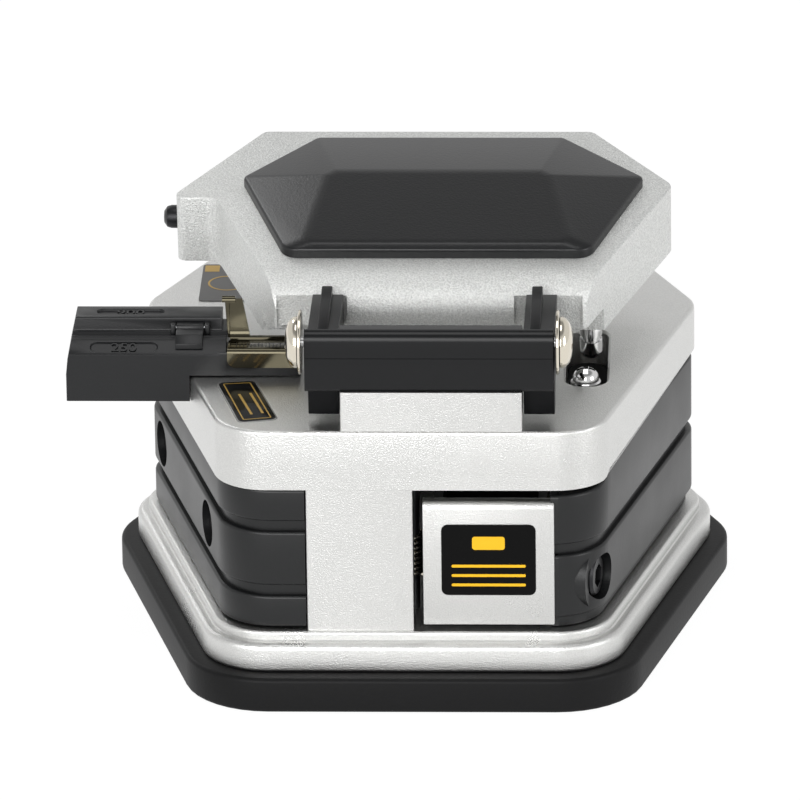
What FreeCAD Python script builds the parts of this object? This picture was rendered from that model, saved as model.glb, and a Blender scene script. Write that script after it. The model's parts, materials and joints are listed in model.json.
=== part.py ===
"""Fibre cleaver: a hexagonal bench tool that scores and snaps optical fibre.

Frame: X runs along the fibre, -Y is the hinge side, Z is up, and the origin is the middle of the
underside of the foot pad. Sizes are in millimetres. The lid, its pad and arms are built lying
shut, and their placement then turns them up about the hinge pin to the angle the spring holds.
"""
import FreeCAD, Part
import math
import os
import re
import Sketcher

Vector = FreeCAD.Vector
Rotation = FreeCAD.Rotation
Placement = FreeCAD.Placement

SIZES = (
    # plan of the hexagonal body, as the deck's own outline
    ("front_half", 21.1), ("back_half", 24.6), ("plan_front", 28.0), ("plan_back", 28.0),
    ("front_lean", 15.2), ("back_lean", 25.1), ("vertex_round", 5.5), ("front_round", 6.2),
    ("deck_round", 0.45),
    # stack from the bench upwards
    ("foot_thick", 4.1), ("base_low", 3.4), ("base_high", 1.1), ("shell_tall", 17.15),
    ("deck_thick", 7.15),
    ("foot_ledge", 3.8), ("base_ledge", 1.8), ("step_ledge", 0.5), ("shell_inset", 0.35),
    ("shell_wall", 2.4),
    # grooves round the shells
    ("groove_deep", 0.7), ("left_groove_top", 12.5), ("left_groove_low", 4.65), ("groove_tall", 1.25),
    ("right_groove", 9.65), ("right_skirt", 1.3), ("shell_gap", 0.15), ("right_gap", 0.85),
    # front: leg, drawer mouth
    ("leg_left", -11.9), ("leg_right", 0.2), ("leg_deep", 4.0), ("mouth_right", 16.6),
    ("apron_cut", 1.85), ("apron_front", 23.0),
    # drawer
    ("drawer_left", 1.28), ("drawer_right", 16.18), ("drawer_plate", 1.6), ("drawer_deep", 23.0),
    ("drawer_top", 24.3), ("drawer_low", 9.3), ("bin_top", 21.0), ("bin_wall", 1.0),
    ("drawer_label_wide", 10.7), ("drawer_label_tall", 8.6), ("drawer_label_up", 17.3),
    ("label_thick", 0.2), ("label_round", 0.75),
    # side screws and posts
    ("screw_shank", 1.5), ("screw_head", 2.45), ("screw_head_tall", 3.0), ("bore_slack", 0.25),
    ("key_size", 1.25), ("key_deep", 1.4), ("bore_deep", 3.4), ("boss_deep", 4.0), ("boss_half", 3.6),
    ("post_radius", 2.4), ("seat_gap", 0.1),
    ("side_screw_one", 6.9), ("side_screw_two", -17.2), ("side_screw_right", -24.2),
    ("left_screw_up", 17.2), ("right_screw_up", 13.7), ("post_near", -12.5),
    ("post_far", 2.1718), ("post_gap", 0.3),
    # hinge
    ("hinge_back", 1.65), ("hinge_up", 10.2), ("barrel", 1.75), ("pin_radius", 0.6), ("knuckle", 1.0),
    ("pin_slack", 0.06), ("pedestal_left", -7.85), ("pedestal_right", 12.65), ("pedestal_deep", 6.0),
    ("pedestal_tall", 4.7), ("cover_left", -11.8), ("cover_right", 16.2), ("cover_skin", 0.65),
    ("arm_gap", 0.15), ("arm_left_wide", 3.5), ("arm_right_wide", 3.5), ("lid_tilt", 8.5),
    ("lobe_front", 0.8), ("lobe_back", 2.0), ("arm_sunk", 1.35), ("rib_wide", 1.2), ("rib_sunk", 0.1),
    ("washer_radius", 3.65), ("washer_thick", 0.4), ("dome_radius", 2.95), ("dome_tall", 1.5),
    # lid, lying shut
    ("lid_gap", 1.0), ("lid_thick", 8.4), ("lid_near", -12.4), ("lid_thick_from", -7.6),
    ("lid_relief", 2.9), ("lid_far", 24.2), ("lid_vertex", 11.4), ("lid_near_left", -15.8),
    ("lid_near_right", 19.6), ("lid_left", -28.9), ("lid_right", 29.3), ("lid_far_left", -18.5),
    ("lid_far_right", 19.8), ("ear_front", 8.3), ("ear_root", -23.4), ("lid_roll", 4.0),
    ("recess_deep", 0.8), ("recess_wide", 8.2),
    ("ear_long", 3.0), ("ear_round", 1.0),
    # pad on the lid
    ("pad_rim", 1.1), ("pad_high", 3.2), ("pad_low", 1.7), ("pad_near", -5.9), ("pad_far", 20.8),
    ("pad_left", -20.4), ("pad_right", 25.9), ("pad_near_left", -14.9), ("pad_near_right", 19.9),
    ("pad_far_left", -12.1), ("pad_far_right", 16.4), ("pad_vertex", 11.3), ("ridge_line", 9.0),
    ("ridge_left", -10.3), ("ridge_right", 14.8), ("top_near_left", -13.2), ("top_near_right", 18.2),
    ("top_near", -5.4),
    # blade, carriage and rail
    ("blade_radius", 9.0), ("blade_thick", 1.0), ("blade_bevel", 1.6), ("blade_plane", -5.5),
    ("blade_proud", 3.3), ("blade_rest", 11.0), ("blade_travel", 24.0), ("hub_radius", 2.7),
    ("hub_thick", 1.4), ("axle_radius", 1.0), ("cheek_thick", 3.0), ("cheek_half", 3.2),
    ("rail_wide", 6.8), ("rail_tall", 4.6), ("rail_centre", -8.9), ("rail_front", 23.0),
    ("rail_back", 24.5), ("run_gap", 0.08), ("block_half", 8.0), ("block_wide", 10.6),
    ("block_up", 0.6), ("block_tall", 8.2), ("slot_half", 1.2), ("skin", 2.3),
    ("pusher_wide", 8.4), ("pusher_tall", 5.6), ("pusher_up", 14.0), ("pusher_out", 5.4),
    ("pusher_gap", 0.5), ("pusher_rib", 0.5), ("pusher_cut", 0.4),
    # fibre line and clamps
    ("fibre_line", -7.95), ("clamp_mid", -9.4), ("clamp_long", 3.4), ("clamp_wide", 4.2),
    ("clamp_tall", 2.9),
    ("rubber_thick", 0.35), ("clamp_left", -11.4), ("clamp_right", -3.6), ("anvil_wide", 1.7),
    # deck openings
    ("chute_left", 2.5), ("chute_right", 11.5), ("chute_front", -13.0), ("chute_back", -6.5),
    ("slot_left", 17.2), ("slot_right", 21.95), ("slot_front", -14.1), ("slot_back", 3.7),
    ("slot_deep", 4.2), ("insert_thick", 0.8), ("stop_x", 19.5), ("stop_y", -11.2),
    ("stop_head", 1.75), ("stop_tall", 2.0), ("stop_proud", 1.1), ("stop_slot", 0.25),
    ("stud_x", 20.0), ("stud_y", -6.2), ("stud_radius", 1.3), ("stud_long", 4.2), ("stud_seat", 1.0),
    # fibre holder
    ("holder_left", -39.85), ("holder_right", -13.0), ("holder_front", -11.4), ("holder_back", -3.2),
    ("holder_drop", 3.0), ("holder_shoulder", 2.7), ("holder_top", 3.9), ("holder_wall", -6.75),
    ("holder_ledge", 5.5), ("ledge_end", -22.2), ("holder_chamfer", 1.7), ("groove_half", 0.7),
    ("oval_deep", 0.25), ("oval_left", -36.6), ("oval_right", -28.8), ("oval_half", 0.85),
    ("holder_gap", 0.1), ("tongue_half", 1.4), ("tongue_deep", 1.0),
    ("keeper_left", -27.3), ("keeper_right", -24.2), ("keeper_thick", 0.55), ("keeper_knuckle", 0.5),
    ("keeper_pin", 0.22), ("keeper_front", -10.9), ("lug_wide", 0.6),
    ("sheet", 0.4), ("channel_left", -22.0), ("channel_corner", -21.5), ("channel_lip", 1.7),
    ("flange_top", 8.1), ("flange_flat", -19.3), ("flange_end", -18.0), ("flange_low", 5.0),
    ("curl", 0.5), ("curl_long", 1.4),
    # detent beside the drawer
    ("detent_x", -0.1), ("detent_y", -21.0), ("detent_radius", 0.8),
    ("detent_low", 12.4), ("detent_high", 18.2), ("coil_pitch", 1.16), ("coil_wire", 0.5),
    # labels on the deck
    ("near_label_front", -25.6), ("near_label_back", -13.2), ("label_margin", 2.35),
    ("near_label_wide", 4.35), ("far_label_front", 12.2), ("far_label_end", 4.0),
    ("far_label_wide", 7.5), ("far_label_skew", 1.5),
    # ear screw and magnets
    ("ear_screw", 1.3), ("ear_shank", 5.0), ("ear_head", 0.9), ("magnet_radius", 2.0),
    ("magnet_tall", 2.0), ("magnet_x", 13.0), ("magnet_y", 17.0),
)

doc = FreeCAD.newDocument("FibreCleaver")
sheet = doc.addObject("Spreadsheet::Sheet", "Sizes")
ALIASES = {name for name, _ in SIZES}
for row, (name, value) in enumerate(SIZES, start=1):
    sheet.set("A%d" % row, name)
    sheet.set("B%d" % row, str(value))
    sheet.setAlias("B%d" % row, name)
doc.recompute()
NODES = []
OVER = 1.0
SAME = 1e-3


def size(name):
    """One driving size, read back from the sheet."""
    return float(sheet.get(name))


def bound(formula):
    """Turn the plain size names of a formula into references to the sheet."""
    text = re.sub(r"[a-z][a-z_]*", lambda word: ("Sizes." if word.group() in ALIASES else "")
                  + word.group(), str(formula))
    return text


def place(obj, x="0", y="0", z="0"):
    """Bind an object's position to formulas."""
    for axis, formula in zip("xyz", (x, y, z)):
        obj.setExpression("Placement.Base." + axis, bound(formula))


# Levels in the stack, as formulas.
BASE = "foot_thick"
STEP = "foot_thick + base_low"
FLOOR = "(foot_thick + base_low + base_high)"
UNDER_DECK = "(foot_thick + base_low + base_high + shell_tall)"
DECK = "(foot_thick + base_low + base_high + shell_tall + deck_thick)"
AXIS_Y = "(hinge_back - plan_front)"
AXIS_Z = "(foot_thick + base_low + base_high + shell_tall + deck_thick + hinge_up)"
LID = "(foot_thick + base_low + base_high + shell_tall + deck_thick + lid_gap)"
LID_STEP = "(%s + lid_relief)" % LID
LID_TOP = "(foot_thick + base_low + base_high + shell_tall + deck_thick + lid_gap + lid_thick)"
HOLDER_MID = "((holder_front + holder_back) / 2)"
BLADE_Z = ("(foot_thick + base_low + base_high + shell_tall + deck_thick + blade_proud"
           " - blade_radius)")
deck_level = sum(size(name) for name in ("foot_thick", "base_low", "base_high", "shell_tall",
                                         "deck_thick"))


# ---------------------------------------------------------------- Part primitives
def box(name, x, y, z):
    """A block between the pairs of formulas x, y and z."""
    block = doc.addObject("Part::Box", name)
    for side, (low, high) in zip(("Length", "Width", "Height"), (x, y, z)):
        block.setExpression(side, bound("(%s) - (%s)" % (high, low)))
    place(block, x[0], y[0], z[0])
    return block


TURNS = {"x": Rotation(Vector(0, 1, 0), 90), "y": Rotation(Vector(1, 0, 0), -90), "z": Rotation()}


def rod(name, axis, radius, length, x, y, z):
    """A cylinder that starts at a point and runs along +axis."""
    bar = doc.addObject("Part::Cylinder", name)
    bar.setExpression("Radius", bound(radius))
    bar.setExpression("Height", bound(length))
    bar.Placement = Placement(Vector(), TURNS[axis])
    place(bar, x, y, z)
    return bar


def cone(name, axis, start, end, length, x, y, z):
    """A cone or taper that starts at a point and runs along +axis."""
    taper = doc.addObject("Part::Cone", name)
    taper.setExpression("Radius1", bound(start))
    taper.setExpression("Radius2", bound(end))
    taper.setExpression("Height", bound(length))
    taper.Placement = Placement(Vector(), TURNS[axis])
    place(taper, x, y, z)
    return taper


def fuse(name, *pieces):
    """One solid from several that meet."""
    joined = doc.addObject("Part::MultiFuse", name)
    joined.Shapes = list(pieces)
    joined.Refine = True
    return joined


def group(name, *pieces):
    """Separate solids that share one node."""
    kept = doc.addObject("Part::Compound", name)
    kept.Links = list(pieces)
    return kept


def cut(name, base, *tools):
    """A solid with the tools taken out of it."""
    taken = doc.addObject("Part::Cut", name)
    taken.Base = base
    taken.Tool = tools[0] if len(tools) == 1 else fuse(name + "Tools", *tools)
    taken.Refine = True
    return taken


# ---------------------------------------------------------------- PartDesign
def new_body(name):
    return doc.addObject("PartDesign::Body", name)


def sketch(body, name, plane, level):
    """An empty sketch on one of the body's origin planes, lifted by a formula."""
    drawn = body.newObject("Sketcher::SketchObject", name)
    base = [item for item in body.Origin.OriginFeatures if item.Role == plane + "_Plane"][0]
    drawn.AttachmentSupport = [(base, "")]
    drawn.MapMode = "FlatFace"
    drawn.setExpression("AttachmentOffset.Base.z", bound(level))
    return drawn


def pin_point(drawn, line, end, x, y, guess):
    """Hold one end of a line at a pair of formulas."""
    for kind, formula, start in (("DistanceX", x, guess.x), ("DistanceY", y, guess.y)):
        index = drawn.addConstraint(Sketcher.Constraint(kind, -1, 1, line, end, start))
        drawn.setExpression("Constraints[%d]" % index, bound(formula))


def polygon(body, name, plane, level, corners):
    """A closed outline whose corners are pairs of formulas."""
    drawn = sketch(body, name, plane, level)
    count = len(corners)
    turn = 2 * math.pi / count
    guesses = [Vector(math.cos(turn * (i + 0.5)), math.sin(turn * (i + 0.5)), 0) * 20
               for i in range(count)]
    for i in range(count):
        drawn.addGeometry(Part.LineSegment(guesses[i], guesses[(i + 1) % count]))
    for i in range(count):
        drawn.addConstraint(Sketcher.Constraint("Coincident", i, 2, (i + 1) % count, 1))
    for i, (x, y) in enumerate(corners):
        pin_point(drawn, i, 1, x, y, guesses[i])
    return drawn


def circles(body, name, plane, level, rings):
    """Circles given as (x, y, radius) formulas."""
    drawn = sketch(body, name, plane, level)
    for i, (x, y, radius) in enumerate(rings):
        drawn.addGeometry(Part.Circle(Vector(i + 1, i + 1, 0), Vector(0, 0, 1), 1))
        for kind, formula in (("DistanceX", x), ("DistanceY", y)):
            index = drawn.addConstraint(Sketcher.Constraint(kind, -1, 1, i, 3, i + 1))
            drawn.setExpression("Constraints[%d]" % index, bound(formula))
        index = drawn.addConstraint(Sketcher.Constraint("Radius", i, 1))
        drawn.setExpression("Constraints[%d]" % index, bound(radius))
    return drawn


def extrude(body, kind, drawn, length, backwards=False):
    """A Pad or Pocket of a sketch, checked to have changed the solid."""
    before = body.Shape.Volume if body.Tip else 0.0
    feature = body.newObject("PartDesign::" + kind, drawn.Name + kind)
    feature.Profile = drawn
    feature.setExpression("Length", bound(length))
    feature.Reversed = backwards
    body.Tip = feature
    doc.recompute()
    change = body.Shape.Volume - before
    if change * (1 if kind == "Pad" else -1) <= 0:
        raise RuntimeError("%s changed nothing" % feature.Name)
    return feature


def dress(body, kind, radius, wanted):
    """Fillet or chamfer the edges of the body's present shape that the test picks."""
    base = body.Tip
    picked = ["Edge%d" % (i + 1) for i, edge in enumerate(base.Shape.Edges) if wanted(edge)]
    if not picked:
        raise RuntimeError("no edge picked on %s" % body.Name)
    feature = body.newObject("PartDesign::" + kind, "%s%s%d" % (body.Name, kind, len(body.Group)))
    feature.Base = (base, picked)
    feature.setExpression("Radius" if kind == "Fillet" else "Size", bound(radius))
    body.Tip = feature
    doc.recompute()
    if "Invalid" in feature.State or feature.Shape.isNull():
        raise RuntimeError("%s failed: %s" % (feature.Name, feature.getStatusString()))
    return feature


def upright(edge):
    """True for a straight edge along Z."""
    if edge.Curve.TypeId != "Part::GeomLine":
        return False
    return abs(edge.Vertexes[0].X - edge.Vertexes[-1].X) + abs(
        edge.Vertexes[0].Y - edge.Vertexes[-1].Y) < 1e-4


def level_at(edge, z):
    """True for an edge that lies in the plane at height z."""
    return abs(edge.BoundBox.ZMin - z) < SAME and abs(edge.BoundBox.ZMax - z) < SAME


def node(obj, label):
    """Name a finished sub-part; its label is its file's name."""
    obj.Label = label
    NODES.append(obj)
    return obj


# ---------------------------------------------------------------- the hexagon
def hexagon(grow):
    """Corners of the deck's outline moved outwards by a formula, from the front left round."""
    front = "(plan_front + (%s))" % grow
    back = "(plan_back + (%s))" % grow
    front_x = "(front_half + (%s) * tan(45 - front_lean / 2))" % grow
    back_x = "(back_half + (%s) * tan(45 - back_lean / 2))" % grow
    vertex_y = ("((%s - %s + %s * tan(back_lean) - %s * tan(front_lean))"
                " / (tan(front_lean) + tan(back_lean)))" % (back_x, front_x, back, front))
    vertex_x = "(%s + (%s + %s) * tan(front_lean))" % (front_x, vertex_y, front)
    return [("-" + front_x, "-" + front), (front_x, "-" + front), (vertex_x, vertex_y),
            (back_x, back), ("-" + back_x, back), ("-" + vertex_x, vertex_y)]


def facet_x(y):
    """Half width of the deck's front facets at a depth y."""
    return size("front_half") + (y + size("plan_front")) * math.tan(math.radians(size("front_lean")))


def side_vertex():
    """Depth at which the deck's front and back facets meet."""
    front_slope, back_slope = (math.tan(math.radians(size(name)))
                               for name in ("front_lean", "back_lean"))
    return ((size("back_half") - size("front_half") + size("plan_back") * back_slope
             - size("plan_front") * front_slope) / (front_slope + back_slope))


def hex_plate(body, name, level, thick, grow, front_radius, radius):
    """A hexagonal plate with its upright corners rounded, the front pair more."""
    extrude(body, "Pad", polygon(body, name, "XY", level, hexagon(grow)), thick)
    dress(body, "Fillet", front_radius, lambda edge: upright(edge) and edge.Vertexes[0].Y < 0)
    dress(body, "Fillet", radius, lambda edge: upright(edge) and abs(
        edge.Vertexes[0].X) > size("back_half") - 1 and edge.Vertexes[0].Y > 0)


# ---------------------------------------------------------------- foot and base
LEAN = math.radians(size("front_lean"))


def flank_spots():
    """Skin point and inward direction of each side screw."""
    spots = []
    for side, along, up in ((-1, "side_screw_one", "left_screw_up"),
                            (-1, "side_screw_two", "left_screw_up"),
                            (1, "side_screw_right", "right_screw_up")):
        inward = Vector(-side * math.cos(LEAN), math.sin(LEAN), 0)
        skin = Vector(side * facet_x(size(along)), size(along), size(up))
        spots.append((skin + inward * size("shell_inset"), inward))
    return spots


def post_spots():
    """Plan places of the four standoffs: two behind the left side screws, two on the right."""
    reach = size("boss_deep") + size("seat_gap") + size("post_radius")
    spots = [skin + inward * reach for skin, inward in flank_spots()[:2]]
    inward = Vector(-math.cos(LEAN), math.sin(LEAN), 0)
    reach = size("shell_inset") + size("shell_wall") + size("post_gap") + size("post_radius")
    for along in (size("post_near"), side_vertex() - size("post_far")):
        spots.append(Vector(facet_x(along), along, 0) + inward * reach)
    return spots


def foot():
    body = new_body("Foot")
    hex_plate(body, "FootOutline", "0", "foot_thick", "foot_ledge", "front_round + foot_ledge / 2",
              "vertex_round")
    top = size("foot_thick")
    dress(body, "Chamfer", "foot_thick / 10", lambda edge: level_at(edge, top))
    dress(body, "Chamfer", "foot_thick / 8", lambda edge: level_at(edge, 0.0))
    rings = [(str(spot.x), str(spot.y), "screw_head + bore_slack") for spot in post_spots()]
    extrude(body, "Pocket", circles(body, "FootBores", "XY", "foot_thick", rings),
            "foot_thick")
    return node(body, "foot_pad")


def base():
    body = new_body("Base")
    hex_plate(body, "BaseOutline", BASE, "base_low", "base_ledge", "front_round", "vertex_round")
    low_top = size("foot_thick") + size("base_low")
    dress(body, "Fillet", "base_low / 6", lambda edge: level_at(edge, low_top))
    dress(body, "Chamfer", "base_low / 8", lambda edge: level_at(edge, size("foot_thick")))
    step = polygon(body, "StepOutline", "XY", STEP, hexagon("step_ledge"))
    extrude(body, "Pad", step, "base_high")
    rings = [(str(spot.x), str(spot.y), "screw_shank + bore_slack") for spot in post_spots()]
    extrude(body, "Pocket", circles(body, "BaseBores", "XY", FLOOR, rings),
            "base_low + base_high")
    return node(body, "base_plate")


def round_post(name, spot):
    """A standoff between base plate and deck, drilled from below for its screw."""
    bar = rod(name, "z", "post_radius", "shell_tall", spot.x, spot.y, FLOOR)
    thread = rod(name + "Bore", "z", "screw_shank + seat_gap", "shell_tall / 3", spot.x, spot.y,
                 FLOOR)
    return cut(name + "Drilled", bar, thread)


def socket_screw(name, head, into, head_tall, shank_long):
    """A cap screw: head centre outwards, hexagonal key socket in its face, shank inwards."""
    spin = Rotation(Vector(0, 0, 1), into)
    solid_head = doc.addObject("Part::Cylinder", name + "Head")
    solid_head.setExpression("Radius", bound("screw_head"))
    solid_head.setExpression("Height", bound(head_tall))
    key = doc.addObject("Part::Prism", name + "Key")
    key.Polygon = 6
    key.setExpression("Circumradius", bound("key_size / cos(30)"))
    key.setExpression("Height", bound("key_deep"))
    shank = doc.addObject("Part::Cylinder", name + "Shank")
    shank.setExpression("Radius", bound("screw_shank"))
    shank.setExpression("Height", bound("%s + %s" % (head_tall, shank_long)))
    for piece in (solid_head, key, shank):
        piece.Placement = Placement(head, spin)
    return cut(name, fuse(name + "Body", solid_head, shank), key)


def screws_and_posts():
    """Standoffs, the cap screws in the flanks and the ones from below."""
    sunk = size("bore_deep") - size("screw_head_tall")
    flank = [socket_screw("FlankScrew%d" % i, skin + inward * sunk, inward, "screw_head_tall",
                          "boss_deep - bore_deep")
             for i, (skin, inward) in enumerate(flank_spots())]
    posts, under = [], []
    head_z = size("foot_thick") - size("screw_head_tall")
    for i, spot in enumerate(post_spots()):
        posts.append(round_post("Post%d" % i, spot))
        under.append(socket_screw("UnderScrew%d" % i, Vector(spot.x, spot.y, head_z),
                                  Vector(0, 0, 1), "screw_head_tall",
                                  "base_low + base_high + shell_tall / 4"))
    node(group("Posts", *posts), "deck_posts")
    node(group("FlankScrews", *flank), "side_screws")
    node(group("UnderScrews", *under), "base_screws")


# ---------------------------------------------------------------- shells
def band(grow_out, grow_in, start):
    """Plan of a strip along the right flank, from a depth round to the back corner."""
    corners = []
    for grow in (grow_in, grow_out):
        ring = hexagon(grow)
        first = ("front_half + (%s) / cos(front_lean) + (%s + plan_front) * tan(front_lean)"
                 % (grow, start), start)
        corners.append([first, ring[2], ring[3]])
    return corners[0][:1] + corners[1] + corners[0][:0:-1]


def ring_pocket(body, name, level, deep, tall):
    """A groove run round the whole outline, cut in from the outside."""
    drawn = polygon(body, name, "XY", level, hexagon("shell_wall"))
    inner = hexagon("-shell_inset - (%s)" % deep)
    start = drawn.GeometryCount
    guesses = [Vector(math.cos(math.pi / 3 * i), math.sin(math.pi / 3 * i), 0) * 9 for i in range(6)]
    for i in range(6):
        drawn.addGeometry(Part.LineSegment(guesses[i], guesses[(i + 1) % 6]))
    for i in range(6):
        drawn.addConstraint(Sketcher.Constraint("Coincident", start + i, 2, start + (i + 1) % 6, 1))
    for i, (x, y) in enumerate(inner):
        pin_point(drawn, start + i, 1, x, y, guesses[i])
    extrude(body, "Pocket", drawn, tall)


def shell_body(name, low, high, grooves):
    """A hexagonal tube with its grooves, before it is split into its half."""
    body = new_body(name)
    tall = "(%s) - (%s)" % (high, low)
    hex_plate(body, name + "Outline", low, tall, "-shell_inset", "front_round", "vertex_round")
    inside = polygon(body, name + "Inside", "XY", high, hexagon("-shell_inset - shell_wall"))
    extrude(body, "Pocket", inside, tall)
    for i, top in enumerate(grooves):
        ring_pocket(body, "%sGroove%d" % (name, i), top, "groove_deep", "groove_tall")
    return body


def boss(name, skin, inward):
    """A block on the inside of the shell that a side screw's counterbore goes into."""
    block = doc.addObject("Part::Box", name)
    block.setExpression("Length", bound("boss_deep - shell_wall / 2"))
    block.setExpression("Width", bound("boss_half * 2"))
    block.setExpression("Height", bound("boss_half * 2"))
    along = Vector(0, 0, 1).cross(inward)
    corner = (skin + inward * (size("shell_wall") / 2) - along * size("boss_half")
              - Vector(0, 0, size("boss_half")))
    block.Placement = Placement(corner, Rotation(Vector(0, 0, 1), math.degrees(
        math.atan2(inward.y, inward.x))))
    return block


def screw_bore(name, skin, inward):
    """The stepped bore of one side screw."""
    start = skin - inward
    spin = Rotation(Vector(0, 0, 1), inward)
    bores = []
    for part, radius, deep in (("Head", "screw_head + bore_slack", "bore_deep + 1"),
                               ("Shank", "screw_shank + bore_slack", "boss_deep + 2")):
        bore = doc.addObject("Part::Cylinder", name + part)
        bore.setExpression("Radius", bound(radius))
        bore.setExpression("Height", bound(deep))
        bore.Placement = Placement(start, spin)
        bores.append(bore)
    return bores


REAR_SEAM = "rail_centre"
FAR = "plan_back * 2"


def shells():
    """The two moulded side covers: bands, grooves, bosses and the pusher's opening."""
    spots = flank_spots()
    low = FLOOR + " + shell_gap"
    high = UNDER_DECK + " - shell_gap"
    left = shell_body("LeftShell", low, high,
                      (FLOOR + " + left_groove_top + groove_tall / 2",
                       FLOOR + " + left_groove_low + groove_tall / 2"))
    window = (("rail_centre - pusher_wide / 2 - pusher_gap", "rail_centre + pusher_wide / 2 + pusher_gap"),
              ("0", FAR), ("pusher_up - pusher_gap", "pusher_up + pusher_tall + pusher_gap"))
    front_cut = box("LeftFrontCut", ("leg_left - shell_gap", FAR), ("-" + FAR, "0"), ("0", DECK))
    back_cut = box("LeftBackCut", (REAR_SEAM, FAR), ("-seat_gap", FAR), ("0", DECK))
    bosses = [boss("LeftBoss%d" % i, *spots[i]) for i in range(2)]
    bores = [bore for i in range(2) for bore in screw_bore("LeftBore%d" % i, *spots[i])]
    whole = fuse("LeftWhole", left, *bosses)
    node(cut("LeftCover", whole, front_cut, back_cut, box("LeftWindow", *window), *bores),
         "left_shell")

    low = FLOOR + " + shell_gap"
    high = UNDER_DECK + " - right_gap"
    right = shell_body("RightShell", low, high, (FLOOR + " + right_groove + groove_tall / 2",))
    skirt = polygon(right, "RightSkirt", "XY", FLOOR + " + shell_gap + right_skirt",
                    hexagon("shell_wall"))
    inner = hexagon("-shell_inset - groove_deep")
    start = skirt.GeometryCount
    guesses = [Vector(math.cos(math.pi / 3 * i), math.sin(math.pi / 3 * i), 0) * 9 for i in range(6)]
    for i in range(6):
        skirt.addGeometry(Part.LineSegment(guesses[i], guesses[(i + 1) % 6]))
    for i in range(6):
        skirt.addConstraint(Sketcher.Constraint("Coincident", start + i, 2, start + (i + 1) % 6, 1))
    for i, (x, y) in enumerate(inner):
        pin_point(skirt, start + i, 1, x, y, guesses[i])
    extrude(right, "Pocket", skirt, "right_skirt")
    rim = polygon(right, "RightRim", "XY", high, band("-shell_inset", "-shell_inset - shell_wall",
                                                      "-apron_front + shell_wall / 2"))
    extrude(right, "Pad", rim, "apron_cut")
    front_cut = box("RightFrontCut", ("-" + FAR, "mouth_right"), ("-" + FAR, "0"), ("0", DECK))
    back_cut = box("RightBackCut", ("-" + FAR, REAR_SEAM + " + shell_gap"), ("-seat_gap", FAR),
                   ("0", DECK))
    whole = fuse("RightWhole", right, boss("RightBoss", *spots[2]))
    node(cut("RightCover", whole, front_cut, back_cut, box("RightWindow", *window),
             *screw_bore("RightBore", *spots[2])), "right_shell")


# ---------------------------------------------------------------- deck
def rectangle(x, y):
    """Corners of a rectangle between two pairs of formulas."""
    return [(x[0], y[0]), (x[1], y[0]), (x[1], y[1]), (x[0], y[1])]


def deck():
    """The top plate with its front leg, blade slot, chute and stop slot."""
    body = new_body("Deck")
    hex_plate(body, "DeckOutline", UNDER_DECK, "deck_thick", "0", "front_round", "vertex_round")
    top = deck_level
    dress(body, "Fillet", "deck_round", lambda edge: level_at(edge, top))
    leg = polygon(body, "LegOutline", "XY", FLOOR,
                  rectangle(("leg_left", "leg_right"), ("-plan_front", "leg_deep - plan_front")))
    extrude(body, "Pad", leg, "shell_tall + deck_thick / 2")
    apron = polygon(body, "ApronCut", "XY", UNDER_DECK + " + apron_cut",
                    band("shell_wall", "-shell_inset - shell_wall - 1", "-apron_front"))
    extrude(body, "Pocket", apron, "apron_cut")
    step_y = -size("apron_front")
    dress(body, "Fillet", "apron_cut / 2.1", lambda edge: abs(edge.BoundBox.YMin - step_y) < 1e-3
          and abs(edge.BoundBox.YMax - step_y) < 1e-3 and edge.BoundBox.ZLength < 1e-4
          and edge.BoundBox.XLength > 1)
    reach = "blade_radius - blade_radius * 0.03"
    slot = polygon(body, "BladeSlot", "XY", DECK, rectangle(
        ("blade_plane - slot_half", "blade_plane + slot_half"),
        ("blade_rest - blade_travel - (%s) - pusher_gap" % reach,
         "blade_rest + (%s) + pusher_gap" % reach)))
    extrude(body, "Pocket", slot, "deck_thick")
    cavity = polygon(body, "CheekPocket", "XY", DECK + " - skin", rectangle(
        ("blade_plane - blade_thick - cheek_thick - pusher_gap * 2", "blade_plane + hub_thick * 2"),
        ("blade_rest - blade_travel - cheek_half - pusher_gap * 2",
         "blade_rest + cheek_half + pusher_gap * 2")))
    extrude(body, "Pocket", cavity, "deck_thick")
    chute = polygon(body, "Chute", "XY", DECK, rectangle(("chute_left", "chute_right"),
                                                         ("chute_front", "chute_back")))
    extrude(body, "Pocket", chute, "deck_thick")
    stop = polygon(body, "StopSlot", "XY", DECK, rectangle(("slot_left", "slot_right"),
                                                           ("slot_front", "slot_back")))
    extrude(body, "Pocket", stop, "slot_deep + insert_thick")
    corners = (size("slot_left"), size("slot_right"))
    dress(body, "Fillet", "(slot_right - slot_left) / 2.1", lambda edge: upright(edge) and min(
        abs(edge.Vertexes[0].X - corner) for corner in corners) < 1e-3
          and min(abs(edge.Vertexes[0].Y - size(end)) for end in ("slot_front", "slot_back")) < 1e-3)
    groove = polygon(body, "TongueGroove", "XY", DECK, rectangle(
        ("holder_left", "channel_corner + holder_gap * 3"),
        (HOLDER_MID + " - tongue_half - holder_gap", HOLDER_MID + " + tongue_half + holder_gap")))
    extrude(body, "Pocket", groove, "tongue_deep + holder_gap * 2")
    magnet = circles(body, "MagnetSeat", "XY", DECK, [("magnet_x", "magnet_y",
                                                       "magnet_radius + seat_gap")])
    extrude(body, "Pocket", magnet, "magnet_tall + seat_gap")
    return node(body, "deck")


def disc_magnet(name, z):
    return rod(name, "z", "magnet_radius", "magnet_tall", "magnet_x", "magnet_y", z)


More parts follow.
